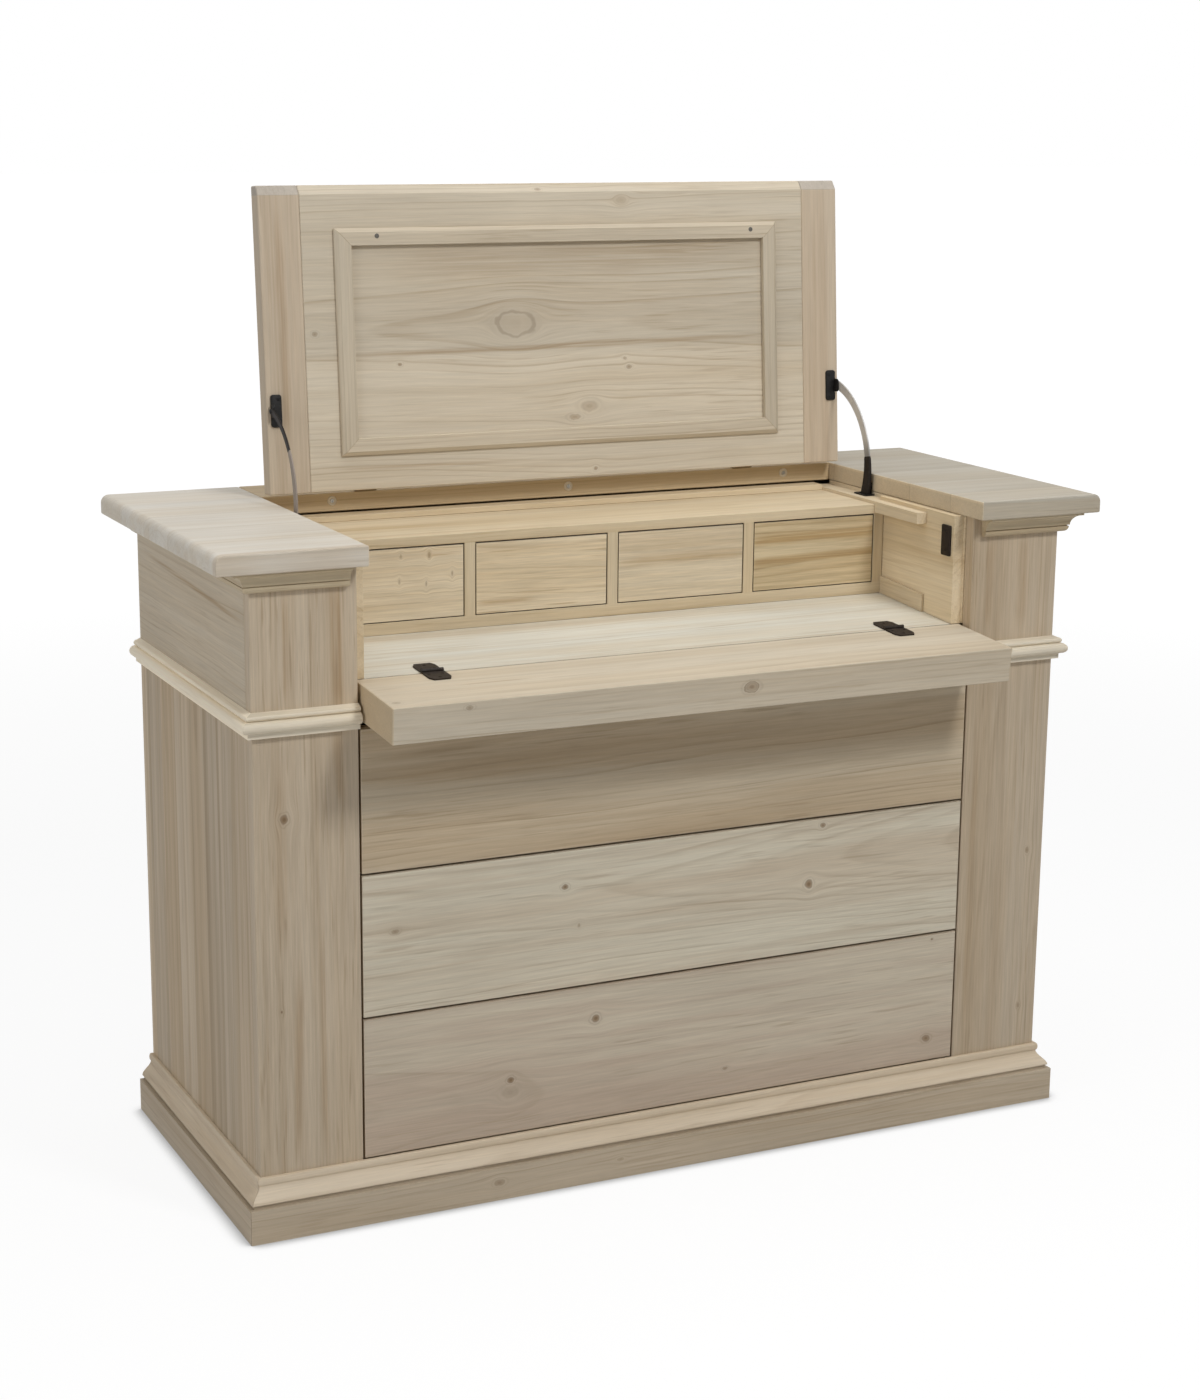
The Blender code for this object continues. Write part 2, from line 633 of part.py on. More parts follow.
def large_low(number):
    """Lower edge of a large drawer's front, counted from the top."""
    return LARGE_TOP_Z - number * large_height() - (number - 1) * LARGE_GAP


def build_large_drawers(body):
    half = OPENING_W / 2 - LARGE_SIDE_GAP
    for number in range(1, LARGE_COUNT + 1):
        slide = empty(f"large_slide_{number}", (0.0, 0.0, large_low(number)), parent=body)
        height = (0.0, large_height())
        front = box(f"large_front_{number}", (-half, half), (0.0, LARGE_FRONT_T), height, PALE_WOOD, slide)
        soften(front, EDGE, segments=2)
        tray_half = half - LARGE_TRAY_INSET
        tray_y = (LARGE_FRONT_T + SEAT, INSIDE_BACK_Y - LARGE_BACK_ROOM)
        tray_z = (RUNNER_RISE + RUNNER_T + SEAT, large_height() - LARGE_TRAY_DROP)
        tray(f"large_tray_{number}", (-tray_half, tray_half), tray_y, tray_z, LARGE_WALL_T, WARM_WOOD, slide)


def build_guides(body):
    """Walls beside the large drawers, in one piece with the runners that carry them."""
    face = OPENING_W / 2
    section = [(face, BASE_H)]
    for number in range(LARGE_COUNT, 0, -1):
        low = large_low(number) + RUNNER_RISE
        tip = face - RUNNER_W
        section += [(face, low), (tip, low), (tip, low + RUNNER_T), (face, low + RUNNER_T)]
    section += [(face, APRON_LOW_Z - SEAT), (face + GUIDE_T, APRON_LOW_Z - SEAT), (face + GUIDE_T, BASE_H)]
    for side, name in ((-1, "left"), (1, "right")):
        outline = [(side * x, z) for x, z in section]
        prism(f"drawer_guide_{name}", outline, "Y", INSIDE_FRONT_Y, INSIDE_BACK_Y, PALE_WOOD, body)


def build_lid(lid_axis):
    """Panel between two end cleats, all with one section, and a mitred frame on the inner face."""
    section = [
        (-PIN_RISE, JOINT_GAP),
        (-PIN_RISE, LID_L),
        (LID_INNER_Y + LID_CHAMFER_EDGE, LID_L),
        (LID_INNER_Y, LID_L - LID_CHAMFER_FACE),
        (LID_INNER_Y, JOINT_GAP),
    ]
    panel_half = LID_JOINT_X - SEAT
    soften(prism("lid_panel", section, "X", -panel_half, panel_half, PALE_WOOD, lid_axis), EDGE)
    for side, name in ((-1, "left"), (1, "right")):
        span = mirrored(side, LID_JOINT_X, LID_HALF)
        soften(prism(f"lid_end_{name}", section, "X", *span, PALE_WOOD, lid_axis), EDGE)
    build_lid_frame(lid_axis)


def build_lid_frame(lid_axis):
    """Bevelled outside, flat on its face and square inside, carried round four mitred corners."""
    profile = [
        (0.0, SEAT), (0.0, FRAME_LIP_T), (FRAME_BEVEL_W, FRAME_T),
        (FRAME_MEMBER_W, FRAME_T), (FRAME_MEMBER_W, SEAT),
    ]
    half = LID_JOINT_X - FRAME_SIDE_INSET
    corners = [
        (-half, FRAME_LOW, 1, 1), (half, FRAME_LOW, -1, 1),
        (half, FRAME_HIGH, -1, -1), (-half, FRAME_HIGH, 1, -1),
    ]
    bm = bmesh.new()
    rings = []
    for x, z, in_x, in_z in corners:
        rings.append([bm.verts.new((x + in_x * w, LID_INNER_Y - t, z + in_z * w)) for w, t in profile])
    for near, far in zip(rings, rings[1:] + rings[:1]):
        for i in range(len(profile)):
            j = (i + 1) % len(profile)
            bm.faces.new((near[i], near[j], far[j], far[i]))
    soften(add_object("lid_frame", bm, PALE_WOOD, lid_axis), SMALL_EDGE)


def stay_angles():
    """Start and end of the stays, from the lid's own upward line towards the front."""
    start = math.asin((PLATE_T + EAR_OUT / 2 - LID_INNER_Y) / STAY_R)
    at_ledge = math.acos((LEDGE_TOP_Z - LID_AXIS_Z) / STAY_R) + LID_LEAN
    return start, at_ledge, at_ledge + STAY_TAIL


def stay_section(angle, side):
    """Width and thickness of a stay at an angle: a plain strip that thickens to a tapered shoe."""
    start, _, end = stay_angles()
    if side > 0:
        shoe_top = end - STAY_TAIL - SHOE_ARC_LOW
        share = min(1.0, max(0.0, (angle - shoe_top) / SHOE_ARC_LOW))
        in_shoe = angle >= shoe_top
    else:
        ear_end = math.acos((STAY_R * math.cos(start) - EAR_H) / STAY_R)
        share = 1.0 - min(1.0, max(0.0, (angle - ear_end) / SHOE_ARC_HIGH))
        in_shoe = ear_end <= angle <= ear_end + SHOE_ARC_HIGH
    if not in_shoe:
        return STAY_W, STAY_T
    width = SHOE_NECK_W + (SHOE_W - SHOE_NECK_W) * share
    thickness = SHOE_NECK_T + (SHOE_T - SHOE_NECK_T) * share
    return width, thickness


def build_stays(lid_axis):
    start, _, end = stay_angles()
    steps = math.ceil((end - start) / STAY_STEP)
    angles = [start + (end - start) * i / steps for i in range(steps + 1)]
    for side, name in ((-1, "left"), (1, "right")):
        bm = bmesh.new()
        rings = []
        for angle in angles:
            width, thickness = stay_section(angle, side)
            ring = []
            for radial, across in ((-1, -1), (1, -1), (1, 1), (-1, 1)):
                radius = STAY_R + radial * width / 2
                x = side * STAY_X + across * thickness / 2
                ring.append(bm.verts.new((x, -radius * math.sin(angle), radius * math.cos(angle))))
            rings.append(ring)
        for near, far in zip(rings, rings[1:]):
            for i in range(4):
                j = (i + 1) % 4
                bm.faces.new((near[i], near[j], far[j], far[i]))
        bm.faces.new(rings[0])
        bm.faces.new(list(reversed(rings[-1])))
        add_object(f"stay_arm_{name}", bm, STEEL, lid_axis, smooth=True)
        build_stay_plate(side, name, start, lid_axis)


def build_stay_plate(side, name, start, lid_axis):
    """Plate on the lid with an ear that the stay is riveted to."""
    ear_outer = STAY_X - STAY_T / 2 - EAR_GAP
    ear_inner = ear_outer - EAR_T
    centre_z = STAY_R * math.cos(start)
    face_y = LID_INNER_Y - SEAT
    plate_x = mirrored(side, ear_outer - PLATE_W, ear_inner + EAR_T / 2)
    plate_z = (centre_z - PLATE_H / 2, centre_z + PLATE_H / 2)
    plate = box(f"stay_plate_{name}", plate_x, (face_y - PLATE_T, face_y), plate_z, BLACK_METAL, lid_axis)
    ear_z = (centre_z - EAR_H / 2, centre_z + EAR_H / 2)
    ear_x = mirrored(side, ear_inner, ear_outer)
    ear = box("ear", ear_x, (face_y - EAR_OUT, face_y), ear_z, BLACK_METAL, lid_axis)
    soften(combine(plate, ear, "UNION"), SMALL_EDGE)


def leaf_outline(outer_knuckles):
    """Plan of a hinge leaf, from the pin out, stepped back where the other leaf's knuckles turn."""
    third = HINGE_W / 6
    clear = HINGE_PIN_R + HINGE_PLAY * 2
    half = HINGE_W / 2
    tip = HINGE_TIP_W / 2
    if outer_knuckles:
        inner = third + HINGE_PLAY / 2
        pin_side = [(half, 0.0), (inner, 0.0), (inner, clear), (-inner, clear), (-inner, 0.0), (-half, 0.0)]
    else:
        inner = third - HINGE_PLAY / 2
        pin_side = [
            (half, clear), (inner, clear), (inner, 0.0), (-inner, 0.0), (-inner, clear), (-half, clear),
        ]
    corner = (HINGE_W - HINGE_TIP_W) / 2
    return pin_side + [(-half, HINGE_LEAF_L - 2 * corner), (-tip, HINGE_LEAF_L), (tip, HINGE_LEAF_L),
                       (half, HINGE_LEAF_L - 2 * corner)]


def hinge_leaf(name, outer_knuckles, reach, x, parent):
    """A leaf that lies on its board, with its knuckles round the pin; reach gives its way in plan."""
    low_z = SEAT - PIN_RISE
    outline = [(u, reach * v) for u, v in leaf_outline(outer_knuckles)]
    leaf = prism(name, outline, "Z", low_z, low_z + HINGE_LEAF_T, BLACK_METAL, parent)
    third = HINGE_W / 6
    if outer_knuckles:
        spans = [(-HINGE_W / 2, -third - HINGE_PLAY / 2), (third + HINGE_PLAY / 2, HINGE_W / 2)]
    else:
        spans = [(HINGE_PLAY / 2 - third, third - HINGE_PLAY / 2)]
    barrel = arc(0.0, 0.0, HINGE_PIN_R, HINGE_PIN_R, 0.0, 2 * math.pi, 2 * ARC_STEPS)[:-1]
    for low, high in spans:
        combine(leaf, prism("knuckle", barrel, "X", low, high, BLACK_METAL, parent), "UNION")
    leaf.location.x = x
    leaf.data.shade_smooth()
    leaf.data.set_sharp_from_angle(angle=SMOOTH_ANGLE)
    return leaf


def build_hinges(board_axis, flap_axis, rail_axis, lid_axis):
    for side, name in ((-1, "left"), (1, "right")):
        hinge_leaf(f"flap_hinge_board_{name}", True, 1, side * FLAP_HINGE_X, board_axis)
        hinge_leaf(f"flap_hinge_flap_{name}", False, -1, side * FLAP_HINGE_X, flap_axis)
        hinge_leaf(f"lid_hinge_rail_{name}", True, 1, side * LID_HINGE_X, rail_axis)
        leaf = hinge_leaf(f"lid_hinge_lid_{name}", False, -1, side * LID_HINGE_X, lid_axis)
        leaf.rotation_euler.x = -math.pi / 2


def build_flap(flap_axis):
    across = (-FLAP_W / 2, FLAP_W / 2)
    thick = (-PIN_RISE - FLAP_T, -PIN_RISE)
    reach = (-FLAP_REACH, -JOINT_GAP)
    soften(box("flap_board", across, reach, thick, PALE_WOOD, flap_axis), EDGE, segments=2)


def build_catch(body):
    face = PANEL_FACE - SEAT
    across = (face - CATCH_T, face)
    front_y = PANEL_FRONT_Y + CATCH_SETBACK
    depth = (front_y, front_y + CATCH_W)
    height = (SLAB_LOW_Z - CATCH_DROP - CATCH_H, SLAB_LOW_Z - CATCH_DROP)
    soften(box("catch_plate", across, depth, height, BLACK_METAL, body), SMALL_EDGE)


def main():
    clear_scene()
    body = empty("front_plane", (0.0, -BODY_CENTRE_Y, 0.0))
    board_axis = empty("board_line", (0.0, FLAP_AXIS_Y, FLAP_AXIS_Z), WRITING_SLOPE, body)
    flap_axis = empty("flap_axis", (0.0, FLAP_AXIS_Y, FLAP_AXIS_Z), WRITING_SLOPE, body)
    rail_axis = empty("rail_line", (0.0, LID_AXIS_Y, LID_AXIS_Z), 0.0, body)
    lid_axis = empty("lid_axis", (0.0, LID_AXIS_Y, LID_AXIS_Z), -LID_LEAN, body)
    bpy.context.view_layer.update()
    build_base(body)
    build_carcass(body)
    build_corner_mouldings(body)
    build_top(body)
    build_writing_place(body, board_axis)
    build_ledges(body)
    build_flanges(body)
    build_case(body)
    build_small_drawers(body)
    build_guides(body)
    build_large_drawers(body)
    build_lid(lid_axis)
    build_stays(lid_axis)
    build_flap(flap_axis)
    build_hinges(board_axis, flap_axis, rail_axis, lid_axis)
    build_catch(body)


main()
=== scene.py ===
import json
import math
from functools import partialmethod

import bmesh
import bpy
from mathutils import Matrix, Vector


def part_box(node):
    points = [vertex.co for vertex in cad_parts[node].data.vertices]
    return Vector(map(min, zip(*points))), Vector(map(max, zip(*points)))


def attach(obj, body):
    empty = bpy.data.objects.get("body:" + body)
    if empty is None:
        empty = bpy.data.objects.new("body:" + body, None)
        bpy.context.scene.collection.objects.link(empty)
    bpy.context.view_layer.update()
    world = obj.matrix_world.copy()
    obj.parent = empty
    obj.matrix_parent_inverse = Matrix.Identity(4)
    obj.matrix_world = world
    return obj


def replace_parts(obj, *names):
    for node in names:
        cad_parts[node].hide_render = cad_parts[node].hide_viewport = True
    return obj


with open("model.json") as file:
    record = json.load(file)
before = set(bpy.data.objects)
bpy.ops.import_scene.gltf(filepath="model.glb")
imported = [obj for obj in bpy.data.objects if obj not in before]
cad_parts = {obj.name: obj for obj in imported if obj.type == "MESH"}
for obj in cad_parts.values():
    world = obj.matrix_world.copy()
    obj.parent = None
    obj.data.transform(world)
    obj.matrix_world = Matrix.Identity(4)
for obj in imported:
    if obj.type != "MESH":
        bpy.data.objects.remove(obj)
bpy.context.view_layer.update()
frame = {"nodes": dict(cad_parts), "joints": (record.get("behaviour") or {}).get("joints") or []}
NODES = frame["nodes"]

# The frames of the lid, the flap and the hinge rail, as they stand at rest
LID_LEAN = math.radians(4.5)
BOARD_SLOPE = math.radians(3.7)


def joint_place(name):
    return Vector(next(j["pos_m"] for j in frame["joints"] if j["name"] == name))


LID_AXIS = joint_place("lid_hinge")
FLAP_AXIS = joint_place("flap_hinge")
LID_SPACE = Matrix.Translation(LID_AXIS) @ Matrix.Rotation(-LID_LEAN, 4, "X")
RAIL_SPACE = Matrix.Translation(LID_AXIS)
FLAP_SPACE = Matrix.Translation(FLAP_AXIS) @ Matrix.Rotation(BOARD_SLOPE, 4, "X")
BODY_SPACE = Matrix.Identity(4)

# Wood looks: pale ground, tan bands, ring lines, brown stain
STILE_LOOK = ((0.590, 0.490, 0.365), (0.500, 0.385, 0.255), (0.350, 0.250, 0.150), (0.345, 0.215, 0.100))
DRAWER_LOOKS = {
    1: ((0.610, 0.520, 0.385), (0.490, 0.380, 0.250), (0.340, 0.250, 0.150), (0.340, 0.225, 0.110)),
    2: ((0.695, 0.635, 0.505), (0.575, 0.470, 0.345), (0.390, 0.300, 0.200), (0.400, 0.270, 0.135)),
    3: ((0.620, 0.545, 0.425), (0.515, 0.405, 0.310), (0.375, 0.285, 0.190), (0.360, 0.240, 0.130)),
}
SIDE_LOOK = ((0.590, 0.485, 0.355), (0.470, 0.350, 0.215), (0.340, 0.245, 0.150), (0.340, 0.220, 0.105))
UPPER_SIDE_LOOK = ((0.630, 0.545, 0.420), (0.530, 0.430, 0.300), (0.420, 0.320, 0.205), (0.375, 0.250, 0.130))
BASE_LOOK = ((0.600, 0.510, 0.390), (0.500, 0.395, 0.270), (0.370, 0.275, 0.175), (0.360, 0.235, 0.115))
# The waist moulding's look is paler than its wood: painted light, for the light on its beads
WAIST_LIT_LOOK = ((0.830, 0.755, 0.615), (0.740, 0.640, 0.480), (0.600, 0.490, 0.340), (0.540, 0.400, 0.240))
LEFT_TOP_LOOK = ((0.675, 0.635, 0.565), (0.600, 0.520, 0.405), (0.480, 0.400, 0.295), (0.480, 0.355, 0.220))
RIGHT_TOP_LOOK = ((0.485, 0.450, 0.380), (0.410, 0.345, 0.248), (0.345, 0.275, 0.190), (0.340, 0.245, 0.145))
BOARD_LOOK = ((0.690, 0.680, 0.610), (0.610, 0.540, 0.415), (0.480, 0.385, 0.255), (0.460, 0.330, 0.190))
FLAP_LOOK = ((0.630, 0.560, 0.445), (0.545, 0.440, 0.305), (0.430, 0.330, 0.210), (0.400, 0.280, 0.155))
LID_LOOK = ((0.640, 0.570, 0.455), (0.545, 0.450, 0.320), (0.390, 0.295, 0.185), (0.370, 0.255, 0.140))
LID_END_LOOK = ((0.570, 0.475, 0.360), (0.490, 0.380, 0.265), (0.370, 0.275, 0.180), (0.340, 0.220, 0.115))
WARM_LOOK = ((0.715, 0.615, 0.455), (0.615, 0.490, 0.315), (0.470, 0.345, 0.195), (0.450, 0.305, 0.150))
CASE_LOOK = ((0.720, 0.610, 0.435), (0.610, 0.475, 0.290), (0.470, 0.340, 0.180), (0.440, 0.295, 0.135))
AMBER_LOOK = ((0.690, 0.575, 0.380), (0.595, 0.450, 0.255), (0.450, 0.320, 0.165), (0.420, 0.270, 0.110))
# The cornice's look is a darker, warmer copy of the upper sides' look: painted shade, for the shadow of the
# slab over it
CORNICE_SHADED_LOOK = ((0.590, 0.490, 0.335), (0.495, 0.385, 0.235), (0.395, 0.290, 0.165), (0.355, 0.228, 0.105))
RAIL_LOOK = ((0.560, 0.440, 0.275), (0.450, 0.335, 0.190), (0.340, 0.240, 0.125), (0.320, 0.210, 0.100))

# Colours of single marks
END_GREY = (0.400, 0.365, 0.320)
SLAB_END_WARM = (0.690, 0.570, 0.400)
FLAP_END_BROWN = (0.560, 0.440, 0.285)
KNOT_BROWN = (0.270, 0.180, 0.100)
KNOT_RING_BROWN = (0.150, 0.090, 0.048)
# Painted shade: the dark browns in the gaps round the small drawers and the large fronts
CASE_GAP_SHADE_BROWN = (0.050, 0.029, 0.014)
FRONT_GAP_SHADE_BROWN = (0.205, 0.118, 0.045)

# Shine of each finish, and how deep its fine surface is
WOOD_SHINE = 0.28
METAL_SHINE = 0.20
STRIP_SHINE = 0.18
WOOD_DEPTH = 0.0005
METAL_DEPTH = 0.0001
RUBBED_WIDTH = 0.0030


class Graph:
    """Short ways to make and join nodes in one tree."""

    def __init__(self, tree):
        self.tree = tree

    def add(self, kind, **settings):
        node = self.tree.nodes.new(kind)
        for key, value in settings.items():
            setattr(node, key, value)
        return node

    def put(self, socket, value):
        if isinstance(value, bpy.types.NodeSocket):
            self.tree.links.new(value, socket)
        elif value is not None:
            socket.default_value = value

    def math(self, operation, a, b=None, c=None):
        node = self.add("ShaderNodeMath", operation=operation)
        for socket, value in zip(node.inputs, (a, b, c)):
            self.put(socket, value)
        return node.outputs[0]

    plus = partialmethod(math, "ADD")
    minus = partialmethod(math, "SUBTRACT")
    times = partialmethod(math, "MULTIPLY")
    times_plus = partialmethod(math, "MULTIPLY_ADD")
    over = partialmethod(math, "DIVIDE")
    most = partialmethod(math, "MAXIMUM")
    least = partialmethod(math, "MINIMUM")
    above = partialmethod(math, "GREATER_THAN")
    below = partialmethod(math, "LESS_THAN")
    unsigned = partialmethod(math, "ABSOLUTE")

    def length(self, a, b):
        """How long a line with these two legs is."""
        return self.math("SQRT", self.plus(self.times(a, a), self.times(b, b)))

    def vector(self, operation, a, b=None, scale=None):
        node = self.add("ShaderNodeVectorMath", operation=operation)
        self.put(node.inputs[0], a)
        self.put(node.inputs[1], b)
        if scale is not None:
            self.put(node.inputs["Scale"], scale)
        return node.outputs["Value"] if operation == "LENGTH" else node.outputs[0]

    def split(self, vector):
        node = self.add("ShaderNodeSeparateXYZ")
        self.put(node.inputs[0], vector)
        return list(node.outputs)

    def join(self, x, y, z):
        node = self.add("ShaderNodeCombineXYZ")
        for socket, value in zip(node.inputs, (x, y, z)):
            self.put(socket, value)
        return node.outputs[0]

    def smooth(self, value, low, high, start=0.0, end=1.0):
        node = self.add("ShaderNodeMapRange", interpolation_type="SMOOTHSTEP")
        for socket, number in zip(node.inputs, (value, low, high, start, end)):
            self.put(socket, number)
        return node.outputs[0]

    def noise(self, vector, scale=1.0, detail=2.0, rough=0.5):
        node = self.add("ShaderNodeTexNoise")
        self.put(node.inputs["Vector"], vector)
        self.put(node.inputs["Scale"], scale)
        self.put(node.inputs["Detail"], detail)
        self.put(node.inputs["Roughness"], rough)
        return node.outputs[0]

    def chance(self, value):
        node = self.add("ShaderNodeTexWhiteNoise", noise_dimensions="1D")
        self.put(node.inputs["W"], value)
        return node.outputs["Value"]

    def blend(self, kind, first, result, factor, a, b):
        node = self.add("ShaderNodeMix", data_type=kind)
        for index, value in ((0, factor), (first, a), (first + 1, b)):
            self.put(node.inputs[index], opaque(value))
        return node.outputs[result]

    mix_value = partialmethod(blend, "FLOAT", 2, 0)
    mix_vector = partialmethod(blend, "VECTOR", 4, 1)
    mix = partialmethod(blend, "RGBA", 6, 2)

    def group(self, group, **given):
        node = self.add("ShaderNodeGroup", node_tree=group)
        for key, value in given.items():
            self.put(node.inputs[key.replace("_", " ")], opaque(value))
        return node.outputs


def opaque(value):
    return (*value, 1.0) if isinstance(value, tuple) and len(value) == 3 else value


def shared_group(name, inputs, outputs):
    """A node group with named sockets; returns it with its graph, what it is given and what it gives."""
    group = bpy.data.node_groups.new(name, "ShaderNodeTree")
    kinds = {"f": "NodeSocketFloat", "v": "NodeSocketVector", "c": "NodeSocketColor"}
    for label, kind in inputs:
        group.interface.new_socket(label, in_out="INPUT", socket_type=kinds[kind])
    for label, kind in outputs:
        group.interface.new_socket(label, in_out="OUTPUT", socket_type=kinds[kind])
    graph = Graph(group)
    given = graph.add("NodeGroupInput").outputs
    result = graph.add("NodeGroupOutput").inputs
    return group, graph, given, result


def softwood_group():
    """Bare softwood: rings about a heart line, bands, stripes, stain, fibre, knots and rubbed edges."""
    inputs = [("Point", "v"), ("Bend", "f"), ("Seed", "f"), ("Heart V", "f"), ("Heart W", "f"),
              ("Pitch", "f"), ("Rings", "f"), ("Bands", "f"), ("Stripes", "f"), ("Stains", "f"),
              ("Fibre", "f"), ("Tone", "f"), ("Pale", "c"), ("Tan", "c"), ("Line", "c"), ("Stain", "c"),
              ("Streak", "f"), ("Knot", "f"), ("Knot Ring", "f"), ("Edge", "f"), ("Joint", "f"),
              ("Grey", "f"), ("Lift", "f"), ("Tint", "c"), ("Tinted", "f")]
    outputs = [("Color", "c"), ("Roughness", "f"), ("Height", "f")]
    group, g, given, result = shared_group("softwood", inputs, outputs)
    u, v, w = g.split(given["Point"])
    v = g.plus(v, given["Bend"])
    near = g.times(given["Seed"], 7.31)
    far = g.times(given["Seed"], 3.17)

    def stretched(along, across, swap=False):
        a, b = (far, near) if swap else (near, far)
        return g.join(g.times_plus(u, along, a), g.times_plus(v, across, b),
                      g.times(w, across))

    def about_zero(value):
        return g.minus(value, 0.5)

    wander = about_zero(g.noise(stretched(0.9, 5.0)))
    ripple = about_zero(g.noise(stretched(4.5, 30.0, True)))
    bent = g.times_plus(wander, 0.060, v)
    bent = g.times_plus(ripple, 0.008, bent)
    deep = g.times_plus(wander, -0.035, w)
    from_v = g.minus(bent, given["Heart V"])
    from_w = g.minus(deep, given["Heart W"])
    radius = g.length(from_v, from_w)
    turn = g.over(g.minus(radius, given["Lift"]), given["Pitch"])
    ring = g.math("FRACT", turn)
    number = g.math("FLOOR", turn)
    luck = g.chance(g.plus(number, near))
    come_and_go = g.noise(g.join(g.times_plus(u, 1.9, g.times(number, 0.71)), number, near))
    strong = g.times(g.times_plus(luck, 0.85, 0.15), g.smooth(come_and_go, 0.36, 0.64, 0.1, 1.0))
    late = g.times(g.smooth(ring, 0.62, 0.92), g.smooth(ring, 0.92, 1.0, 1.0, 0.0))
    late = g.times(late, strong)
    soft = g.times(g.smooth(ring, 0.0, 0.9), strong)
    band = g.smooth(g.noise(stretched(0.5, 11.0, True), detail=3.0), 0.36, 0.68)
    stripe = g.noise(stretched(0.35, 70.0), detail=3.0, rough=0.6)
    stain = g.smooth(g.noise(stretched(0.6, 30.0)), 0.57, 0.74)
    flame = g.smooth(g.noise(stretched(1.6, 38.0), detail=4.0, rough=0.6), 0.45, 0.66)
    fibre = g.noise(stretched(12.0, 380.0), detail=3.0, rough=0.65)
    patch = g.smooth(g.noise(stretched(1.3, 14.0)), 0.44, 0.60)
    dash = g.smooth(g.noise(stretched(9.0, 230.0, True), detail=2.0), 0.57, 0.70)
    dash = g.times(dash, patch)
    blotch = g.noise(stretched(2.2, 9.0))
    colour = g.mix(g.times(band, given["Bands"]), given["Pale"], given["Tan"])
    colour = g.mix(g.times(flame, g.times(given["Bands"], 0.60)), colour, given["Tan"])
    warm = g.times(g.smooth(stripe, 0.48, 0.72), given["Stripes"])
    colour = g.mix(warm, colour, given["Tan"])
    lines = g.times(g.times_plus(soft, 0.28, late), given["Rings"])
    colour = g.mix(lines, colour, given["Line"])
    colour = g.mix(g.times(dash, given["Fibre"]), colour, given["Line"])
    colour = g.mix(g.times(stain, given["Stains"]), colour, given["Stain"])
    colour = g.mix(given["Streak"], colour, given["Stain"])
    shade = g.times_plus(about_zero(fibre), given["Fibre"], 1.0)
    shade = g.times_plus(about_zero(stripe), g.times(given["Stripes"], -0.45), shade)
    shade = g.times_plus(about_zero(blotch), 0.26, shade)
    shade = g.plus(shade, given["Tone"])
    colour = g.mix(given["Tinted"], colour, given["Tint"])
    colour = g.mix(given["Grey"], colour, END_GREY)
    colour = g.mix(given["Knot"], colour, KNOT_BROWN)
    colour = g.mix(given["Knot Ring"], colour, KNOT_RING_BROWN)
    colour = g.mix(g.times(given["Edge"], 0.30), colour, given["Pale"])
    colour = g.mix(g.times(given["Joint"], 0.55), colour, given["Line"])
    g.put(result["Color"], g.vector("SCALE", colour, scale=shade))
    rough = g.times_plus(about_zero(fibre), 0.20, 0.58)
    rough = g.times_plus(late, 0.06, rough)
    g.put(result["Roughness"], g.times_plus(given["Edge"], -0.07, rough))
    height = g.times_plus(late, -0.5, g.times(fibre, 0.6))
    g.put(result["Height"], g.times_plus(given["Joint"], -1.2, height))
    return group


def knot_group():
    """A knot: how far it bends the grain aside, its dark heart and the rings round it."""
    inputs = [("Point", "v"), ("U", "f"), ("V", "f"), ("Radius", "f"), ("Long", "f"), ("Dark", "f"),
              ("Outline", "f")]
    group, g, given, result = shared_group("knot", inputs, [("Bend", "f"), ("Core", "f"), ("Rings", "f")])
    u, v, _ = g.split(given["Point"])
    along = g.over(g.minus(u, given["U"]), given["Long"])
    across = g.minus(v, given["V"])
    square = g.plus(g.times(along, along), g.times(across, across))
    away = g.math("SQRT", square)
    reach = g.times(given["Radius"], 1.5)
    reach_square = g.times(reach, reach)
    share = g.over(reach_square, g.most(square, reach_square))
    fade = g.smooth(away, g.times(reach, 2.0), g.times(reach, 7.0), 1.0, 0.0)
    g.put(result["Bend"], g.times(g.times(across, share), g.times(fade, -1.0)))
    wobble = g.noise(given["Point"], scale=g.over(0.70, given["Radius"]))
    uneven = g.times_plus(wobble, 0.7, 0.65)
    shaped = g.over(g.times(away, uneven), given["Radius"])
    core = g.smooth(shaped, 0.45, 1.15, 1.0, 0.0)
    g.put(result["Core"], g.times(core, given["Dark"]))
    wave = g.times_plus(g.math("SINE", g.times(shaped, 9.0)), 0.5, 0.5)
    ringed = g.times(wave, g.smooth(shaped, 0.7, 2.2, 1.0, 0.0))
    ringed = g.times(ringed, g.times(given["Dark"], 0.45))
    brim = g.smooth(g.unsigned(g.minus(shaped, 1.1)), 0.04, 0.20, 1.0, 0.0)
    g.put(result["Rings"], g.most(ringed, g.times(brim, given["Outline"])))
    return group


def streak_group():
    """A long stained streak with soft, uneven sides."""
    inputs = [("Point", "v"), ("V", "f"), ("Half Width", "f"), ("Low", "f"), ("High", "f"), ("Slant", "f")]
    group, g, given, result = shared_group("streak", inputs, [("Mask", "f")])
    u, v, _ = g.split(given["Point"])
    waver = g.minus(g.noise(g.join(g.times(u, 6.0), 0.0, given["V"])), 0.5)
    centre = g.times_plus(waver, given["Half Width"], given["V"])
    centre = g.times_plus(g.minus(u, given["Low"]), given["Slant"], centre)
    away = g.over(g.unsigned(g.minus(v, centre)), given["Half Width"])
    mask = g.smooth(away, 0.15, 1.0, 1.0, 0.0)
    length = g.minus(given["High"], given["Low"])
    share = g.over(g.minus(u, given["Low"]), length)
    ends = g.times(g.smooth(share, 0.0, 0.25), g.smooth(share, 0.7, 1.0, 1.0, 0.0))
    grainy = g.noise(g.join(g.times(u, 5.0), g.times(v, 300.0), 0.0))
    mask = g.times(g.times(mask, ends), g.smooth(grainy, 0.25, 0.6, 0.35, 1.0))
    g.put(result["Mask"], mask)
    return group


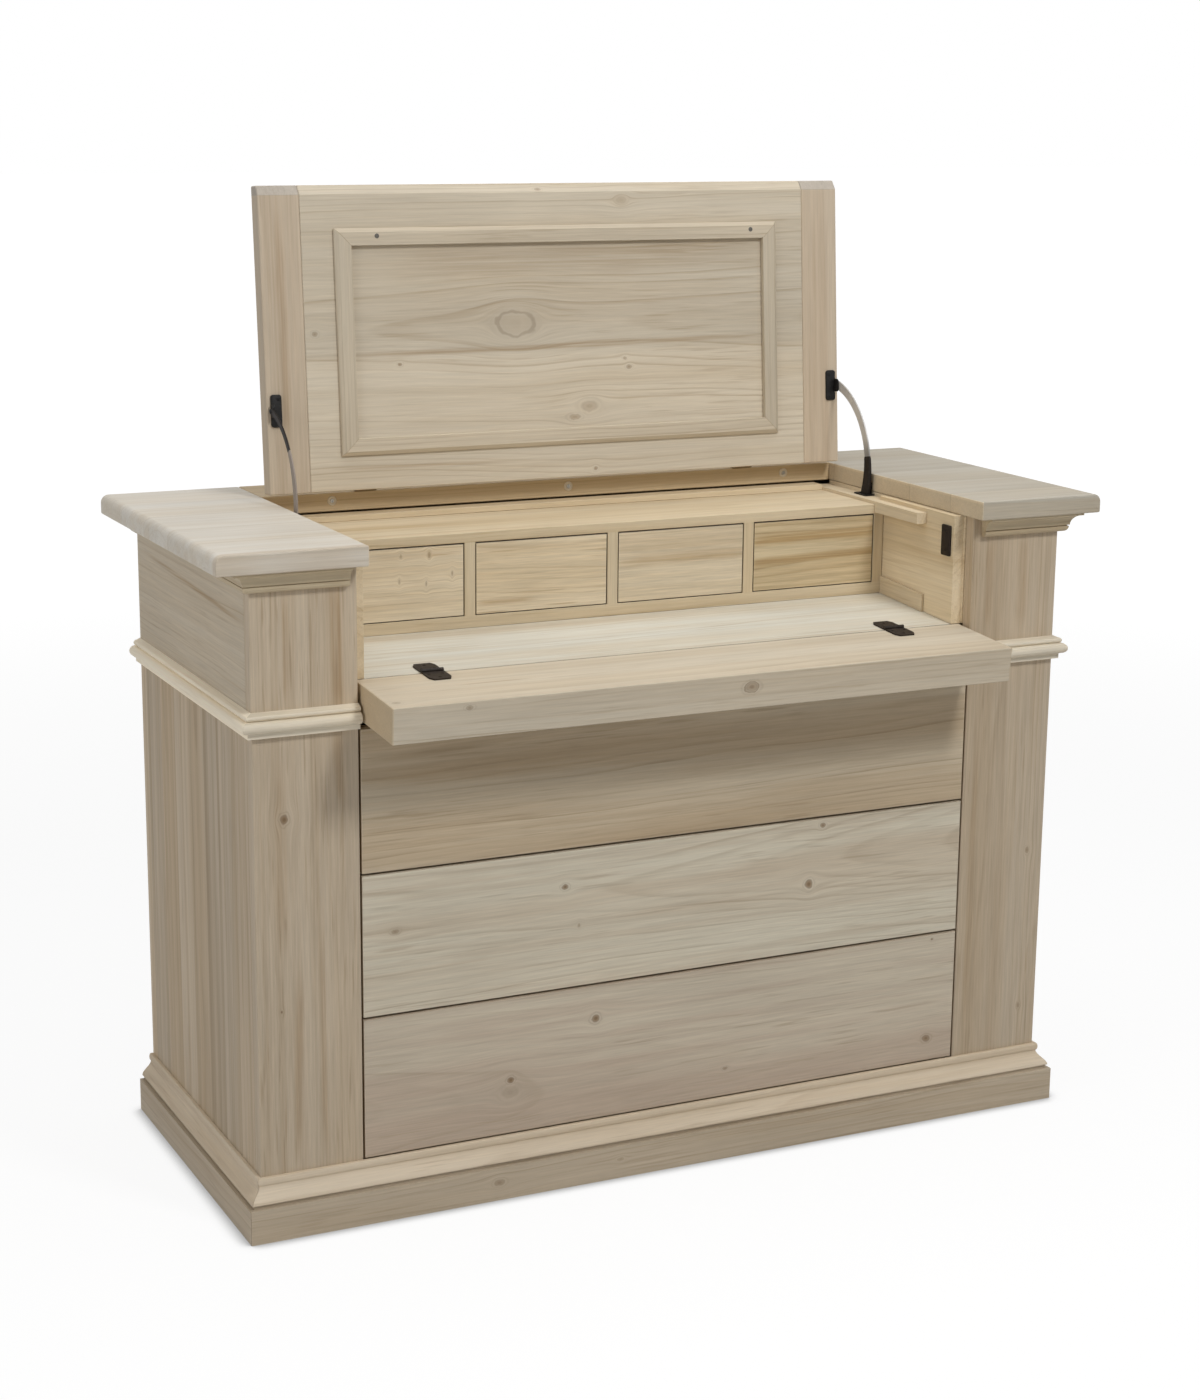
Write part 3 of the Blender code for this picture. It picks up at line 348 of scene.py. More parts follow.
def stave_group():
    """Boards glued edge to edge: each one's own grain, tone and middle line, and the joint between them."""
    inputs = [("Point", "v"), ("Start", "f"), ("Width", "f"), ("Seed", "f")]
    outputs = [("Shift", "f"), ("Tone", "f"), ("Middle", "f"), ("Joint", "f")]
    group, g, given, result = shared_group("staves", inputs, outputs)
    _, v, _ = g.split(given["Point"])
    place = g.over(g.minus(v, given["Start"]), given["Width"])
    number = g.math("FLOOR", place)
    share = g.math("FRACT", place)
    luck = g.chance(g.plus(number, given["Seed"]))
    g.put(result["Shift"], g.times(luck, 40.0))
    other = g.chance(g.times_plus(number, 1.7, g.plus(given["Seed"], 5.3)))
    g.put(result["Tone"], g.minus(other, 0.5))
    middle = g.plus(number, g.times_plus(other, 1.4, -0.2))
    g.put(result["Middle"], g.times_plus(middle, given["Width"], given["Start"]))
    edge = g.times(g.least(share, g.minus(1.0, share)), given["Width"])
    g.put(result["Joint"], g.smooth(edge, 0.0002, 0.0009, 1.0, 0.0))
    return group


def arris_group():
    """Rubbed edges of a squared board, from its own two corners."""
    inputs = [("Point", "v"), ("Low", "v"), ("High", "v"), ("Width", "f")]
    group, g, given, result = shared_group("arris", inputs, [("Edge", "f")])
    inside = g.vector("MINIMUM", g.vector("SUBTRACT", given["Point"], given["Low"]),
                      g.vector("SUBTRACT", given["High"], given["Point"]))
    x, y, z = g.split(inside)
    second = g.most(g.least(x, y), g.least(g.most(x, y), z))
    rough = g.times_plus(g.noise(given["Point"], scale=60.0, detail=3.0), 1.6, 0.2)
    width = g.times(given["Width"], rough)
    g.put(result["Edge"], g.smooth(second, 0.0, width, 1.0, 0.0))
    return group


def scuff_group():
    """Metal that has been handled: rubbed bare spots, uneven gloss and a fine surface."""
    inputs = [("Point", "v"), ("Scale", "f"), ("Ground", "c"), ("Rubbed", "c"), ("Amount", "f"),
              ("Gloss", "f")]
    outputs = [("Color", "c"), ("Roughness", "f"), ("Height", "f")]
    group, g, given, result = shared_group("scuffed metal", inputs, outputs)
    point = g.vector("SCALE", given["Point"], scale=given["Scale"])
    cloud = g.noise(point, scale=1.0, detail=4.0, rough=0.6)
    grit = g.noise(point, scale=9.0, detail=2.0)
    worn = g.times(g.smooth(cloud, 0.52, 0.72), given["Amount"])
    g.put(result["Color"], g.mix(worn, given["Ground"], given["Rubbed"]))
    rough = g.times_plus(g.minus(cloud, 0.5), 0.3, given["Gloss"])
    g.put(result["Roughness"], g.times_plus(g.minus(grit, 0.5), 0.15, rough))
    g.put(result["Height"], grit)
    return group


SOFTWOOD = softwood_group()
KNOT = knot_group()
STREAK = streak_group()
STAVES = stave_group()
ARRIS = arris_group()
SCUFF = scuff_group()


def new_material(name):
    material = bpy.data.materials.new(name)
    material.use_nodes = True
    graph = Graph(material.node_tree)
    return material, graph, material.node_tree.nodes["Principled BSDF"]


def fine_bump(graph, shader, height, depth, strength=0.5):
    bump = graph.add("ShaderNodeBump")
    bump.inputs["Strength"].default_value = strength
    bump.inputs["Distance"].default_value = depth
    graph.put(bump.inputs["Height"], height)
    graph.put(shader.inputs["Normal"], bump.outputs[0])


def surface(graph, shader, outputs, depth):
    """Colour, roughness and a fine bump from a group's outputs to the shader."""
    graph.put(shader.inputs["Base Color"], outputs["Color"])
    graph.put(shader.inputs["Roughness"], outputs["Roughness"])
    fine_bump(graph, shader, outputs["Height"], depth)


def own_point(graph, space):
    """Where a point is in its piece's own frame."""
    at = graph.add("ShaderNodeTexCoord").outputs["Object"]
    inverse = space.inverted()
    node = graph.add("ShaderNodeMapping", vector_type="POINT")
    node.inputs["Location"].default_value = inverse.to_translation()
    node.inputs["Rotation"].default_value = inverse.to_euler()
    graph.put(node.inputs["Vector"], at)
    return node.outputs[0]


def along_grain(graph, point, order):
    """The point as distance along the grain, across the face and into the board."""
    parts = dict(zip("xyz", graph.split(point)))
    return graph.join(*(parts[letter] for letter in order))


def own_corners(node, space):
    inverse = space.inverted()
    points = [inverse @ v.co for v in NODES[node].data.vertices]
    low = Vector([min(p[i] for p in points) for i in range(3)])
    high = Vector([max(p[i] for p in points) for i in range(3)])
    return low, high


def also(g, given, key, value, operation="ADD"):
    """Joins one more value to what a group is given under a name."""
    given[key] = g.math(operation, given[key], value) if key in given else value


def dress(node, material):
    mesh = NODES[node].data
    mesh.materials.clear()
    mesh.materials.append(material)


def wood(node, order, look, seed, heart=(0.0, -0.06), pitch=0.0075, rings=0.40, bands=0.55, stripes=0.30,
         stains=0.2, fibre=0.35, tone=0.0, knots=(), streaks=(), staves=None, space=BODY_SPACE,
         turned=None, square=True, extra=None, lift=None):
    """Dresses one CAD node as a board. Turned gives a second grain and a mask for where it runs that way;
    extra adds a mark that only this board has; lift tilts the rings along it, for a cathedral figure."""
    material, g, shader = new_material(node)
    own = own_point(g, space)
    point = along_grain(g, own, order)
    if turned is not None:
        other_order, mask = turned
        point = g.mix_vector(mask(g, own), point, along_grain(g, own, other_order))
    pale, tan, line, stain = look
    given = dict(Seed=seed, Heart_V=heart[0], Heart_W=heart[1], Pitch=pitch, Rings=rings, Bands=bands,
                 Stripes=stripes, Stains=stains, Fibre=fibre, Tone=tone, Pale=pale, Tan=tan, Line=line,
                 Stain=stain)
    if staves is not None:
        start, width, spread = staves
        boards = g.group(STAVES, Point=point, Start=start, Width=width, Seed=seed)
        given["Seed"] = g.plus(boards["Shift"], seed)
        given["Tone"] = g.times_plus(boards["Tone"], spread, tone)
        given["Heart_V"] = boards["Middle"]
        given["Joint"] = boards["Joint"]
    if lift is not None:
        middle, slope, curve = lift
        along, _, _ = g.split(point)
        along = g.minus(along, middle)
        bowed = g.times(g.times(along, along), curve)
        given["Lift"] = g.times_plus(along, slope, bowed)
    for along, across, radius, long, dark, *outline in knots:
        one = g.group(KNOT, Point=point, U=along, V=across, Radius=radius, Long=long, Dark=dark,
                      Outline=outline[0] if outline else 0.0)
        also(g, given, "Bend", one["Bend"])
        also(g, given, "Knot", one["Core"], "MAXIMUM")
        also(g, given, "Knot_Ring", one["Rings"], "MAXIMUM")
    for across, half, low, high, slant, strength in streaks:
        one = g.group(STREAK, Point=point, V=across, Half_Width=half, Low=low, High=high, Slant=slant)
        also(g, given, "Streak", g.times(one["Mask"], strength), "MAXIMUM")
    if extra is not None:
        extra(g, own, given)
    if square:
        low, high = own_corners(node, space)
        given["Edge"] = g.group(ARRIS, Point=own, Low=low, High=high, Width=RUBBED_WIDTH)["Edge"]
    surface(g, shader, g.group(SOFTWOOD, Point=point, **given), WOOD_DEPTH)
    shader.inputs["Specular IOR Level"].default_value = WOOD_SHINE
    dress(node, material)


# Places that masks and marks go by
STILE_LOW, STILE_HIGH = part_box("stile_right")
CORNER_REACH = STILE_HIGH.x + STILE_LOW.y
FRAME_LOW, FRAME_HIGH = own_corners("lid_frame", LID_SPACE)
LID_TOP = own_corners("lid_end_left", LID_SPACE)[1].z
FLAP_LOW, FLAP_HIGH = own_corners("flap_board", FLAP_SPACE)
PLINTH_TOP = 0.0580
CASE_FLOOR = 0.8325
CASE_CEILING = 0.9445
TRAY_INSIDE = 0.487

# Gaps round the drawers, with painted shade in them: how far the shade shows on an edge and as a painted
# shadow line on the face, and how thick the fronts are
GAP_EDGE = 0.0014
GAP_LINE = 0.0008
GAP_FACE = 0.0006
LARGE_FRONT_THICK = 0.05
SMALL_FRONT_THICK = 0.016
GAP_COVER = 0.004


def side_run(g, own):
    """Where a corner moulding runs along the side instead of the front."""
    x, y, _ = g.split(own)
    return g.above(g.plus(g.unsigned(x), y), CORNER_REACH)


def frame_lead(g, own):
    """How much further off the lid frame's foot or head is than its side; above 0 on its upright members."""
    x, _, z = g.split(own)
    aside = g.minus(FRAME_HIGH.x, g.unsigned(x))
    nearest = g.least(g.minus(z, FRAME_LOW.z), g.minus(FRAME_HIGH.z, z))
    return g.minus(nearest, aside)


def upright_member(g, own):
    """Where the lid's frame runs up instead of across."""
    return g.above(frame_lead(g, own), 0.0)


def frame_mitre(g, own, given):
    """The lid frame's mitre lines, and its upright members a little browner."""
    lead = frame_lead(g, own)
    also(g, given, "Joint", g.smooth(g.unsigned(lead), 0.0003, 0.0009, 1.0, 0.0), "MAXIMUM")
    also(g, given, "Tone", g.times(g.above(lead, 0.0), -0.07))


def slab_end(edge, top, front, tone):
    """The end grain at a slab's inner end and its rounded front are warmer than its top."""
    def mark(g, own, given):
        x, _, z = g.split(own)
        end = g.smooth(g.unsigned(g.minus(x, edge)), 0.0012, 0.0020, 0.80, 0.0)
        nose = g.smooth(z, top - 0.0060, top - 0.0030, 1.0, 0.0)
        given["Tint"] = SLAB_END_WARM
        given["Tinted"] = g.most(end, g.times(nose, front))
        also(g, given, "Tone", g.times(nose, tone))
    return mark


def painted_light_above(level, low_tone, high_tone):
    """Painted light on a moulding above a level, and painted shade on the flat band below it."""
    def mark(g, own, given):
        _, _, z = g.split(own)
        also(g, given, "Tone", g.smooth(z, level - 0.001, level + 0.001, low_tone, high_tone))
    return mark


def darker_low(g, own, given):
    """The stiles are a little browner below the waist moulding."""
    _, _, z = g.split(own)
    also(g, given, "Tone", g.smooth(z, 0.70, 0.76, -0.06, 0.0))


def painted_light_side(g, own, given):
    """Painted light on a corner moulding's side run, for the light on its beads."""
    also(g, given, "Tone", g.times(side_run(g, own), 0.26))


def case_opening(g, z, margin=0.0):
    """Between the base and the top board of the case of small drawers."""
    return g.times(g.above(z, CASE_FLOOR - margin), g.below(z, CASE_CEILING + margin))


def case_upright(g, own):
    """Where the case of small drawers stands upright."""
    _, _, z = g.split(own)
    return case_opening(g, z)


def case_gap(front):
    """Painted shade just inside the small drawers' openings."""
    def mark(g, own, given):
        _, y, z = g.split(own)
        deep = g.smooth(y, front + 0.0008, front + 0.0030)
        given["Tint"] = CASE_GAP_SHADE_BROWN
        given["Tinted"] = g.times(g.times(case_opening(g, z, 0.0005), deep), tucked_away(g))
    return mark


def tray_side(g, own):
    """Where a large drawer's tray has its sides, whose grain runs front to back."""
    x, _, _ = g.split(own)
    return g.above(g.unsigned(x), TRAY_INSIDE)


def end_grain_top(g, own, given):
    """The lid's ends show their end grain along the bevelled top edge."""
    _, _, z = g.split(own)
    also(g, given, "Grey", g.smooth(z, LID_TOP - 0.0155, LID_TOP - 0.0135, 0.0, 0.75))


def darker_middle(g, own, given):
    """The lid's lower and upper boards are paler than its middle one."""
    _, _, z = g.split(own)
    also(g, given, "Tone", g.smooth(z, 0.19, 0.21, 0.09, -0.04))
    also(g, given, "Tone", g.smooth(z, 0.39, 0.41, 0.0, 0.05))


def tucked_away(g):
    """Where something lies close over the surface, as in the gap round a shut drawer; painted shade goes by
    this mask.
    """
    near = g.add("ShaderNodeAmbientOcclusion", samples=6)
    near.inputs["Distance"].default_value = GAP_COVER
    return g.smooth(near.outputs["AO"], 0.45, 0.85, 1.0, 0.0)


def shaded_gap(node, thick, brown):
    """Painted brown shade on the edges of a shut drawer's front, and a thin painted shadow line on its face,
    above and right.
    """
    low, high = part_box(node)
    middle, half = (low.x + high.x) / 2, (high.x - low.x) / 2

    def mark(g, own, given):
        x, y, z = g.split(own)
        behind = g.times(g.smooth(y, low.y + 0.0004, low.y + 0.0010), g.below(y, low.y + thick))
        aside = g.above(g.unsigned(g.minus(x, middle)), half - GAP_EDGE)
        ends = g.most(g.above(z, high.z - GAP_EDGE), g.below(z, low.z + GAP_EDGE))
        edge = g.times(g.times(behind, g.most(aside, ends)), tucked_away(g))
        # A painted shadow line on the face along the top and right edges, not masked by occlusion
        line = g.most(g.above(z, high.z - GAP_LINE), g.above(x, high.x - GAP_LINE))
        given["Tint"] = brown
        given["Tinted"] = g.most(edge, g.times(line, g.below(y, low.y + GAP_FACE)))
    return mark


def seam(g, own, given):
    """The brown line where the writing board meets the flap."""
    _, y, _ = g.split(own)
    line = g.smooth(g.unsigned(y), 0.0016, 0.0022, 1.0, 0.0)
    also(g, given, "Streak", g.times(line, 0.9), "MAXIMUM")
    also(g, given, "Tone", g.times(line, -0.45))


def flap_marks(g, own, given):
    """The flap's seam, the knots that come out at its front edge, and its browner end grain."""
    seam(g, own, given)
    x, y, z = g.split(own)
    edge = g.below(y, FLAP_LOW.y + 0.0030)
    for across, up, radius, long, dark, outline in (
            (0.053, -0.023, 0.0072, 1.50, 0.75, 0.50), (-0.388, -0.012, 0.0036, 1.6, 0.6, 0.0)):
        knot = g.group(KNOT, Point=g.join(x, z, y), U=across, V=up, Radius=radius, Long=long, Dark=dark,
                       Outline=outline)
        also(g, given, "Knot", g.times(knot["Core"], g.times(edge, 0.7)), "MAXIMUM")
        also(g, given, "Knot_Ring", g.times(knot["Rings"], edge), "MAXIMUM")
    given["Tint"] = FLAP_END_BROWN
    given["Tinted"] = g.smooth(g.unsigned(x), FLAP_HIGH.x - 0.0022, FLAP_HIGH.x - 0.0012, 0.0, 0.85)


# In the lists of marks, a knot is its place along and across the grain, its radius, how long it is drawn out,
# how dark it is and how strong its outline is; a streak is its place across the grain, half its width, where
# it starts and ends, its slant and its strength; staves are a start, a width and a spread of tones.


def dress_carcass():
    # The base's moulding above the plinth gets painted light, the plinth painted shade
    base = dict(pitch=0.006, stains=0.25, square=False, extra=painted_light_above(PLINTH_TOP, -0.04, 0.24))
    wood("base_front", "xzy", BASE_LOOK, 1.3, heart=(-0.05, -0.10), **base,
         knots=[(-0.30, 0.028, 0.0050, 1.8, 0.45), (-0.10, 0.030, 0.0030, 2.0, 0.3)])
    wood("base_left", "yzx", BASE_LOOK, 2.1, heart=(-0.04, -0.55), **base)
    wood("base_right", "yzx", BASE_LOOK, 2.8, heart=(-0.04, 0.55), **base)
    wood("bottom_panel", "xyz", WARM_LOOK, 3.4, heart=(0.0, 0.0), staves=(-0.3, 0.11, 0.06))
    wood("back_panel", "zxy", SIDE_LOOK, 4.2, heart=(0.0, 0.25), staves=(-0.66, 0.12, 0.08))
    staved = dict(pitch=0.0060, stains=0.45, bands=0.75, stripes=0.80)
    wood("side_left", "zyx", SIDE_LOOK, 5.6, heart=(0.0, -0.60), staves=(-0.2, 0.072, 0.28), **staved)
    wood("side_right", "zyx", SIDE_LOOK, 6.9, heart=(0.0, 0.60), staves=(-0.22, 0.075, 0.28), **staved)
    upper = dict(rings=0.55, stains=0.12, bands=0.65, fibre=0.45)
    wood("upper_side_left", "yzx", UPPER_SIDE_LOOK, 7.7, heart=(0.99, -0.56), **upper,
         streaks=[(0.892, 0.0055, -0.22, 0.33, 0.045, 0.75)])
    wood("upper_side_right", "yzx", UPPER_SIDE_LOOK, 8.4, heart=(0.84, 0.60), **upper)
    stile = dict(pitch=0.0060, bands=0.6, stripes=0.50, fibre=0.48, extra=darker_low)
    wood("stile_left", "zxy", STILE_LOOK, 9.2, heart=(-0.60, -0.29), tone=0.02, **stile,
         knots=[(0.617, -0.616, 0.0055, 1.25, 0.95), (0.336, -0.625, 0.0016, 1.4, 0.8)],
         streaks=[(-0.534, 0.013, 0.74, 0.98, -0.03, 0.65), (-0.530, 0.011, 0.62, 0.76, -0.06, 0.38),
                  (-0.612, 0.007, 0.76, 0.97, 0.0, 0.45), (-0.620, 0.014, 0.40, 0.74, 0.0, 0.30),
                  (-0.563, 0.006, 0.08, 0.50, 0.0, 0.35), (-0.606, 0.009, 0.08, 0.42, 0.03, 0.38)])
    wood("stile_right", "zxy", STILE_LOOK, 10.5, heart=(0.56, -0.29), **stile,
         knots=[(0.424, 0.632, 0.0035, 1.6, 0.5), (0.161, 0.629, 0.0028, 1.6, 0.4)],
         streaks=[(0.537, 0.012, 0.78, 0.96, 0.02, 0.35), (0.525, 0.008, 0.10, 0.70, 0.0, 0.30),
                  (0.600, 0.015, 0.78, 0.96, 0.0, 0.30)])
    moulding = dict(pitch=0.006, bands=0.45, turned=("yzx", side_run), square=False)
    for side, seed in (("left", 11.1), ("right", 12.4)):
        wood(f"waist_moulding_{side}", "xzy", WAIST_LIT_LOOK, seed, heart=(0.70, -0.30), extra=painted_light_side,
             **moulding)
        wood(f"cornice_{side}", "xzy", CORNICE_SHADED_LOOK, seed + 0.6, heart=(0.90, -0.30), **moulding)
    left_high, right_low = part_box("top_slab_left")[1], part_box("top_slab_right")[0]
    slab = dict(pitch=0.008, rings=0.28, heart=(0.0, 0.90), square=False)
    wood("top_slab_left", "xyz", LEFT_TOP_LOOK, 13.3, bands=0.65, staves=(-0.256, 0.118, 0.06), **slab,
         streaks=[(-0.236, 0.012, -0.80, -0.38, 0.0, 0.45)],
         extra=slab_end(left_high.x, left_high.z, 0.0, 0.11))
    wood("top_slab_right", "xyz", RIGHT_TOP_LOOK, 14.8, bands=0.6, stains=0.25, staves=(-0.27, 0.118, 0.07),
         **slab, extra=slab_end(right_low.x, left_high.z, 0.30, -0.10))
    wood("hinge_rail", "xzy", RAIL_LOOK, 15.5, heart=(0.90, 0.16), pitch=0.005, rings=0.5, tone=0.08)
    wood("writing_board", "xyz", BOARD_LOOK, 16.1, heart=(-0.10, 0.30), pitch=0.009, rings=0.35, bands=0.65,
         stains=0.10, space=FLAP_SPACE, extra=seam,
         streaks=[(0.185, 0.018, -0.62, 0.30, 0.0, 0.30), (0.008, 0.004, 0.0, 0.62, 0.0, 0.35)])
    wood("apron_rail", "xzy", STILE_LOOK, 17.2, heart=(0.70, -0.30))
    for side, heart, seed in (("left", -0.55, 18.3), ("right", 0.56, 19.7)):
        wood(f"inner_panel_{side}", "yzx", CASE_LOOK, seed, heart=(0.80, heart), pitch=0.010, stains=0.25,
             bands=0.6, tone=0.08, square=False, streaks=[(0.90, 0.006, -0.30, 0.0, 0.0, 0.3)])
        wood(f"foot_strip_{side}", "yzx", WARM_LOOK, seed + 0.4, heart=(0.78, heart), pitch=0.006)
        wood(f"lid_rest_{side}", "yxz", WARM_LOOK, seed + 0.9, heart=(heart, 0.90), pitch=0.006, square=False)
        wood(f"drawer_guide_{side}", "yzx", STILE_LOOK, seed + 1.3, heart=(0.4, heart), square=False)
    case_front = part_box("drawer_case")[0].y
    wood("drawer_case", "xyz", CASE_LOOK, 20.6, heart=(0.10, 0.86), pitch=0.0085, bands=0.6, tone=-0.02,
         turned=("zxy", case_upright), square=False, extra=case_gap(case_front))
    wood("case_back_strip", "xzy", CASE_LOOK, 21.4, heart=(0.93, 0.15), pitch=0.006)


def dress_lid():
    wood("lid_panel", "xzy", LID_LOOK, 22.5, heart=(0.243, -0.12), pitch=0.0080, rings=0.42, bands=0.50,
         stains=0.08, space=LID_SPACE, lift=(0.284, 0.018, 0.0), extra=darker_middle,
         knots=[(-0.084, 0.245, 0.0165, 1.75, 0.10, 0.30), (-0.279, 0.189, 0.0026, 1.5, 0.65),
                (0.111, 0.171, 0.0036, 1.4, 0.5), (0.104, 0.185, 0.0026, 1.4, 0.45),
                (0.040, 0.112, 0.0085, 1.8, 0.35), (0.014, 0.096, 0.0046, 2.2, 0.45),
                (0.104, 0.432, 0.0056, 1.6, 0.2), (-0.039, 0.450, 0.0024, 2.4, 0.45),
                (-0.414, 0.239, 0.0040, 1.2, 0.45), (0.048, 0.013, 0.0034, 1.0, 0.6)],
         streaks=[(0.204, 0.006, -0.45, 0.45, 0.010, 0.60), (0.345, 0.040, -0.40, 0.45, 0.0, 0.36),
                  (0.270, 0.050, -0.40, 0.45, 0.0, 0.16), (0.036, 0.004, -0.45, -0.05, -0.01, 0.45)])
    end = dict(pitch=0.006, space=LID_SPACE, extra=end_grain_top)
    wood("lid_end_left", "zxy", LID_END_LOOK, 23.3, heart=(-0.46, -0.10), bands=0.7, stains=0.3, stripes=0.9,
         streaks=[(-0.464, 0.011, 0.02, 0.47, 0.0, 0.5)], **end)
    wood("lid_end_right", "zxy", LID_END_LOOK, 24.1, heart=(0.46, -0.10), bands=0.45, stripes=0.35, tone=0.09,
         streaks=[(0.452, 0.006, 0.02, 0.47, 0.0, 0.2)], **end)
    wood("lid_frame", "xzy", LID_LOOK, 25.7, heart=(0.20, -0.12), pitch=0.006, rings=0.45, bands=0.45,
         turned=("zxy", upright_member), square=False, space=LID_SPACE, extra=frame_mitre)


def dress_flap_and_drawers():
    wood("flap_board", "xyz", FLAP_LOOK, 26.4, heart=(-0.06, -0.14), pitch=0.0085, rings=0.45, bands=0.5,
         stains=0.15, knots=[(-0.486, -0.124, 0.0050, 1.3, 0.35)], space=FLAP_SPACE, extra=flap_marks,
         streaks=[(-0.071, 0.0030, -0.38, -0.26, 0.0, 0.6), (-0.030, 0.012, 0.10, 0.52, 0.0, 0.25)])
    large = {
        1: dict(heart=(0.70, -0.26), pitch=0.0085, rings=0.55, bands=0.90, stains=0.25, tone=0.02,
                streaks=[(0.648, 0.010, -0.55, 0.10, 0.0, 0.3)]),
        2: dict(heart=(0.463, -0.31), pitch=0.0070, rings=0.45, bands=0.75, stains=0.0,
                lift=(-0.236, 0.0, 0.05),
                knots=[(-0.185, 0.465, 0.0042, 1.3, 0.85), (-0.162, 0.403, 0.0034, 0.7, 0.4),
                       (0.229, 0.417, 0.0070, 1.0, 0.90), (0.251, 0.509, 0.0040, 1.3, 0.75),
                       (-0.453, 0.432, 0.0034, 1.8, 0.45)]),
        3: dict(heart=(0.16, -0.31), pitch=0.0080, rings=0.30, bands=0.80, stains=0.0,
                lift=(0.35, -0.02, 0.03),
                knots=[(-0.133, 0.253, 0.0060, 1.1, 0.90), (-0.272, 0.177, 0.0050, 1.15, 0.90),
                       (-0.273, 0.158, 0.0100, 1.3, 0.16), (0.454, 0.131, 0.0056, 1.3, 0.75),
                       (0.089, 0.138, 0.0026, 1.8, 0.5), (0.458, 0.297, 0.0020, 1.2, 0.7)]),
    }
    for number, board in large.items():
        wood(f"large_front_{number}", "xzy", DRAWER_LOOKS[number], 27.0 + number * 1.9, fibre=0.42, **board,
             extra=shaded_gap(f"large_front_{number}", LARGE_FRONT_THICK, FRONT_GAP_SHADE_BROWN))
        wood(f"large_tray_{number}", "xzy", WARM_LOOK, 33.0 + number * 1.3, heart=(0.4, 0.4),
             turned=("yzx", tray_side), square=False)
    small = {
        1: dict(heart=(0.80, -0.02), bands=0.4, tone=0.08,
                knots=[(-0.349, 0.931, 0.0034, 0.6, 0.40), (-0.304, 0.930, 0.0050, 0.5, 0.50),
                       (-0.352, 0.893, 0.0036, 0.4, 0.35), (-0.309, 0.887, 0.0042, 0.35, 0.45),
                       (-0.267, 0.900, 0.0044, 0.35, 0.45)],
                streaks=[(0.931, 0.012, -0.42, -0.22, 0.02, 0.30)]),
        2: dict(heart=(0.94, -0.02), tone=0.11, streaks=[(0.852, 0.008, -0.24, -0.12, 0.0, 0.5)]),
        3: dict(heart=(0.86, -0.05), streaks=[(0.893, 0.013, -0.02, 0.30, 0.03, 0.50)]),
        4: dict(heart=(0.90, -0.05), bands=0.75, tone=-0.06,
                streaks=[(0.912, 0.013, 0.18, 0.55, 0.02, 0.80), (0.877, 0.010, 0.18, 0.55, 0.03, 0.75)]),
    }
    for number, board in small.items():
        wood(f"small_drawer_{number}", "xzy", AMBER_LOOK if number == 4 else WARM_LOOK, 40.0 + number * 2.3,
             pitch=0.0048, rings=0.55, fibre=0.65, **board,
             extra=shaded_gap(f"small_drawer_{number}", SMALL_FRONT_THICK, CASE_GAP_SHADE_BROWN))


# The finishes of metal pieces: ground colour, rubbed colour
BLACK_STEEL = ((0.008, 0.0075, 0.0072), (0.035, 0.032, 0.030))
BROWN_STEEL = ((0.018, 0.012, 0.0085), (0.052, 0.039, 0.029))
BRONZED_STEEL = ((0.230, 0.165, 0.090), (0.330, 0.250, 0.150))
# Black of the right stay's shoe; on the left stay the same black is painted shade
SHOE_BLACK_AND_SHADE = ((0.016, 0.012, 0.010), (0.048, 0.038, 0.031))
# The left strip's steel is a darker copy of the right strip's: painted shade
LEFT_STRIP_SHADED_STEEL = ((0.300, 0.255, 0.220), (0.380, 0.330, 0.290))
RIGHT_STRIP_STEEL = ((0.60, 0.59, 0.575), (0.70, 0.69, 0.67))
ZINC = ((0.46, 0.44, 0.40), (0.60, 0.58, 0.54))
DULL_STEEL = ((0.130, 0.120, 0.105), (0.240, 0.225, 0.200))
WASHER_FIBRE = ((0.66, 0.58, 0.45), (0.56, 0.48, 0.36))
METAL_GRAIN = 160.0
SCREW_GRAIN = 300.0

# The lid stays: strips on an arc about the lid's axis, the right one with a shoe at its foot
STAY_RADIUS = 0.134
STAY_STEPS = 64
STRIP_THICK = 0.0012
STRIP_EASE = 0.45
SHOE_ARC = math.radians(26.0)
SHOE_START = math.radians(84.0)
SHOE_END = math.radians(58.0)

# Plates and their screws; a screw is its radius and height
PLATE_THICK = 0.0030
EAR_THICK = 0.0026
EAR_HALF = 0.0105
LEAF_TOP = -0.0010
RAIL_SCREW = (0.0033, 0.0016)
FRAME_SCREW = (0.0036, 0.0006)
HINGE_SCREW = (0.0027, 0.0005)
CATCH_SCREW = (0.0032, 0.0006)
PLATE_SCREW = (0.0030, 0.0006)
RAIL_SCREW_PLACES = (-0.385, 0.015, 0.409)
RAIL_SCREW_LEVEL = 0.9875
FRAME_SCREW_PLACES = (-0.312, 0.330)
FRAME_SCREW_LEVEL = 0.383
LEAF_SCREW_PLACES = ((-0.0105, 0.0140), (0.0105, 0.0140), (0.0, 0.0300))
WASHER_PROFILE = ((0.0034, 0.0), (0.0034, 0.0010), (0.0066, 0.0012), (0.0074, 0.0006), (0.0076, 0.0))
RIVET_PROFILE = ((0.0, 0.0), (0.0040, 0.0), (0.0038, 0.0008), (0.0028, 0.0016), (0.0014, 0.0020),
                 (0.0, 0.0021))
RIVET_PLACE = 0.4910


def scuffed(name, colours, gloss, scale, amount=0.5):
    """A handled finish, with its shader for what else it needs."""
    material, g, shader = new_material(name)
    at = g.add("ShaderNodeTexCoord").outputs["Object"]
    ground, rubbed = colours
    outputs = g.group(SCUFF, Point=at, Scale=scale, Ground=ground, Rubbed=rubbed, Amount=amount, Gloss=gloss)
    surface(g, shader, outputs, METAL_DEPTH)
    return material, shader


def plain_metal(name, colours, gloss, metallic, scale=METAL_GRAIN):
    material, shader = scuffed(name, colours, gloss, scale)
    shader.inputs["Metallic"].default_value = metallic
    shader.inputs["Specular IOR Level"].default_value = METAL_SHINE
    return material


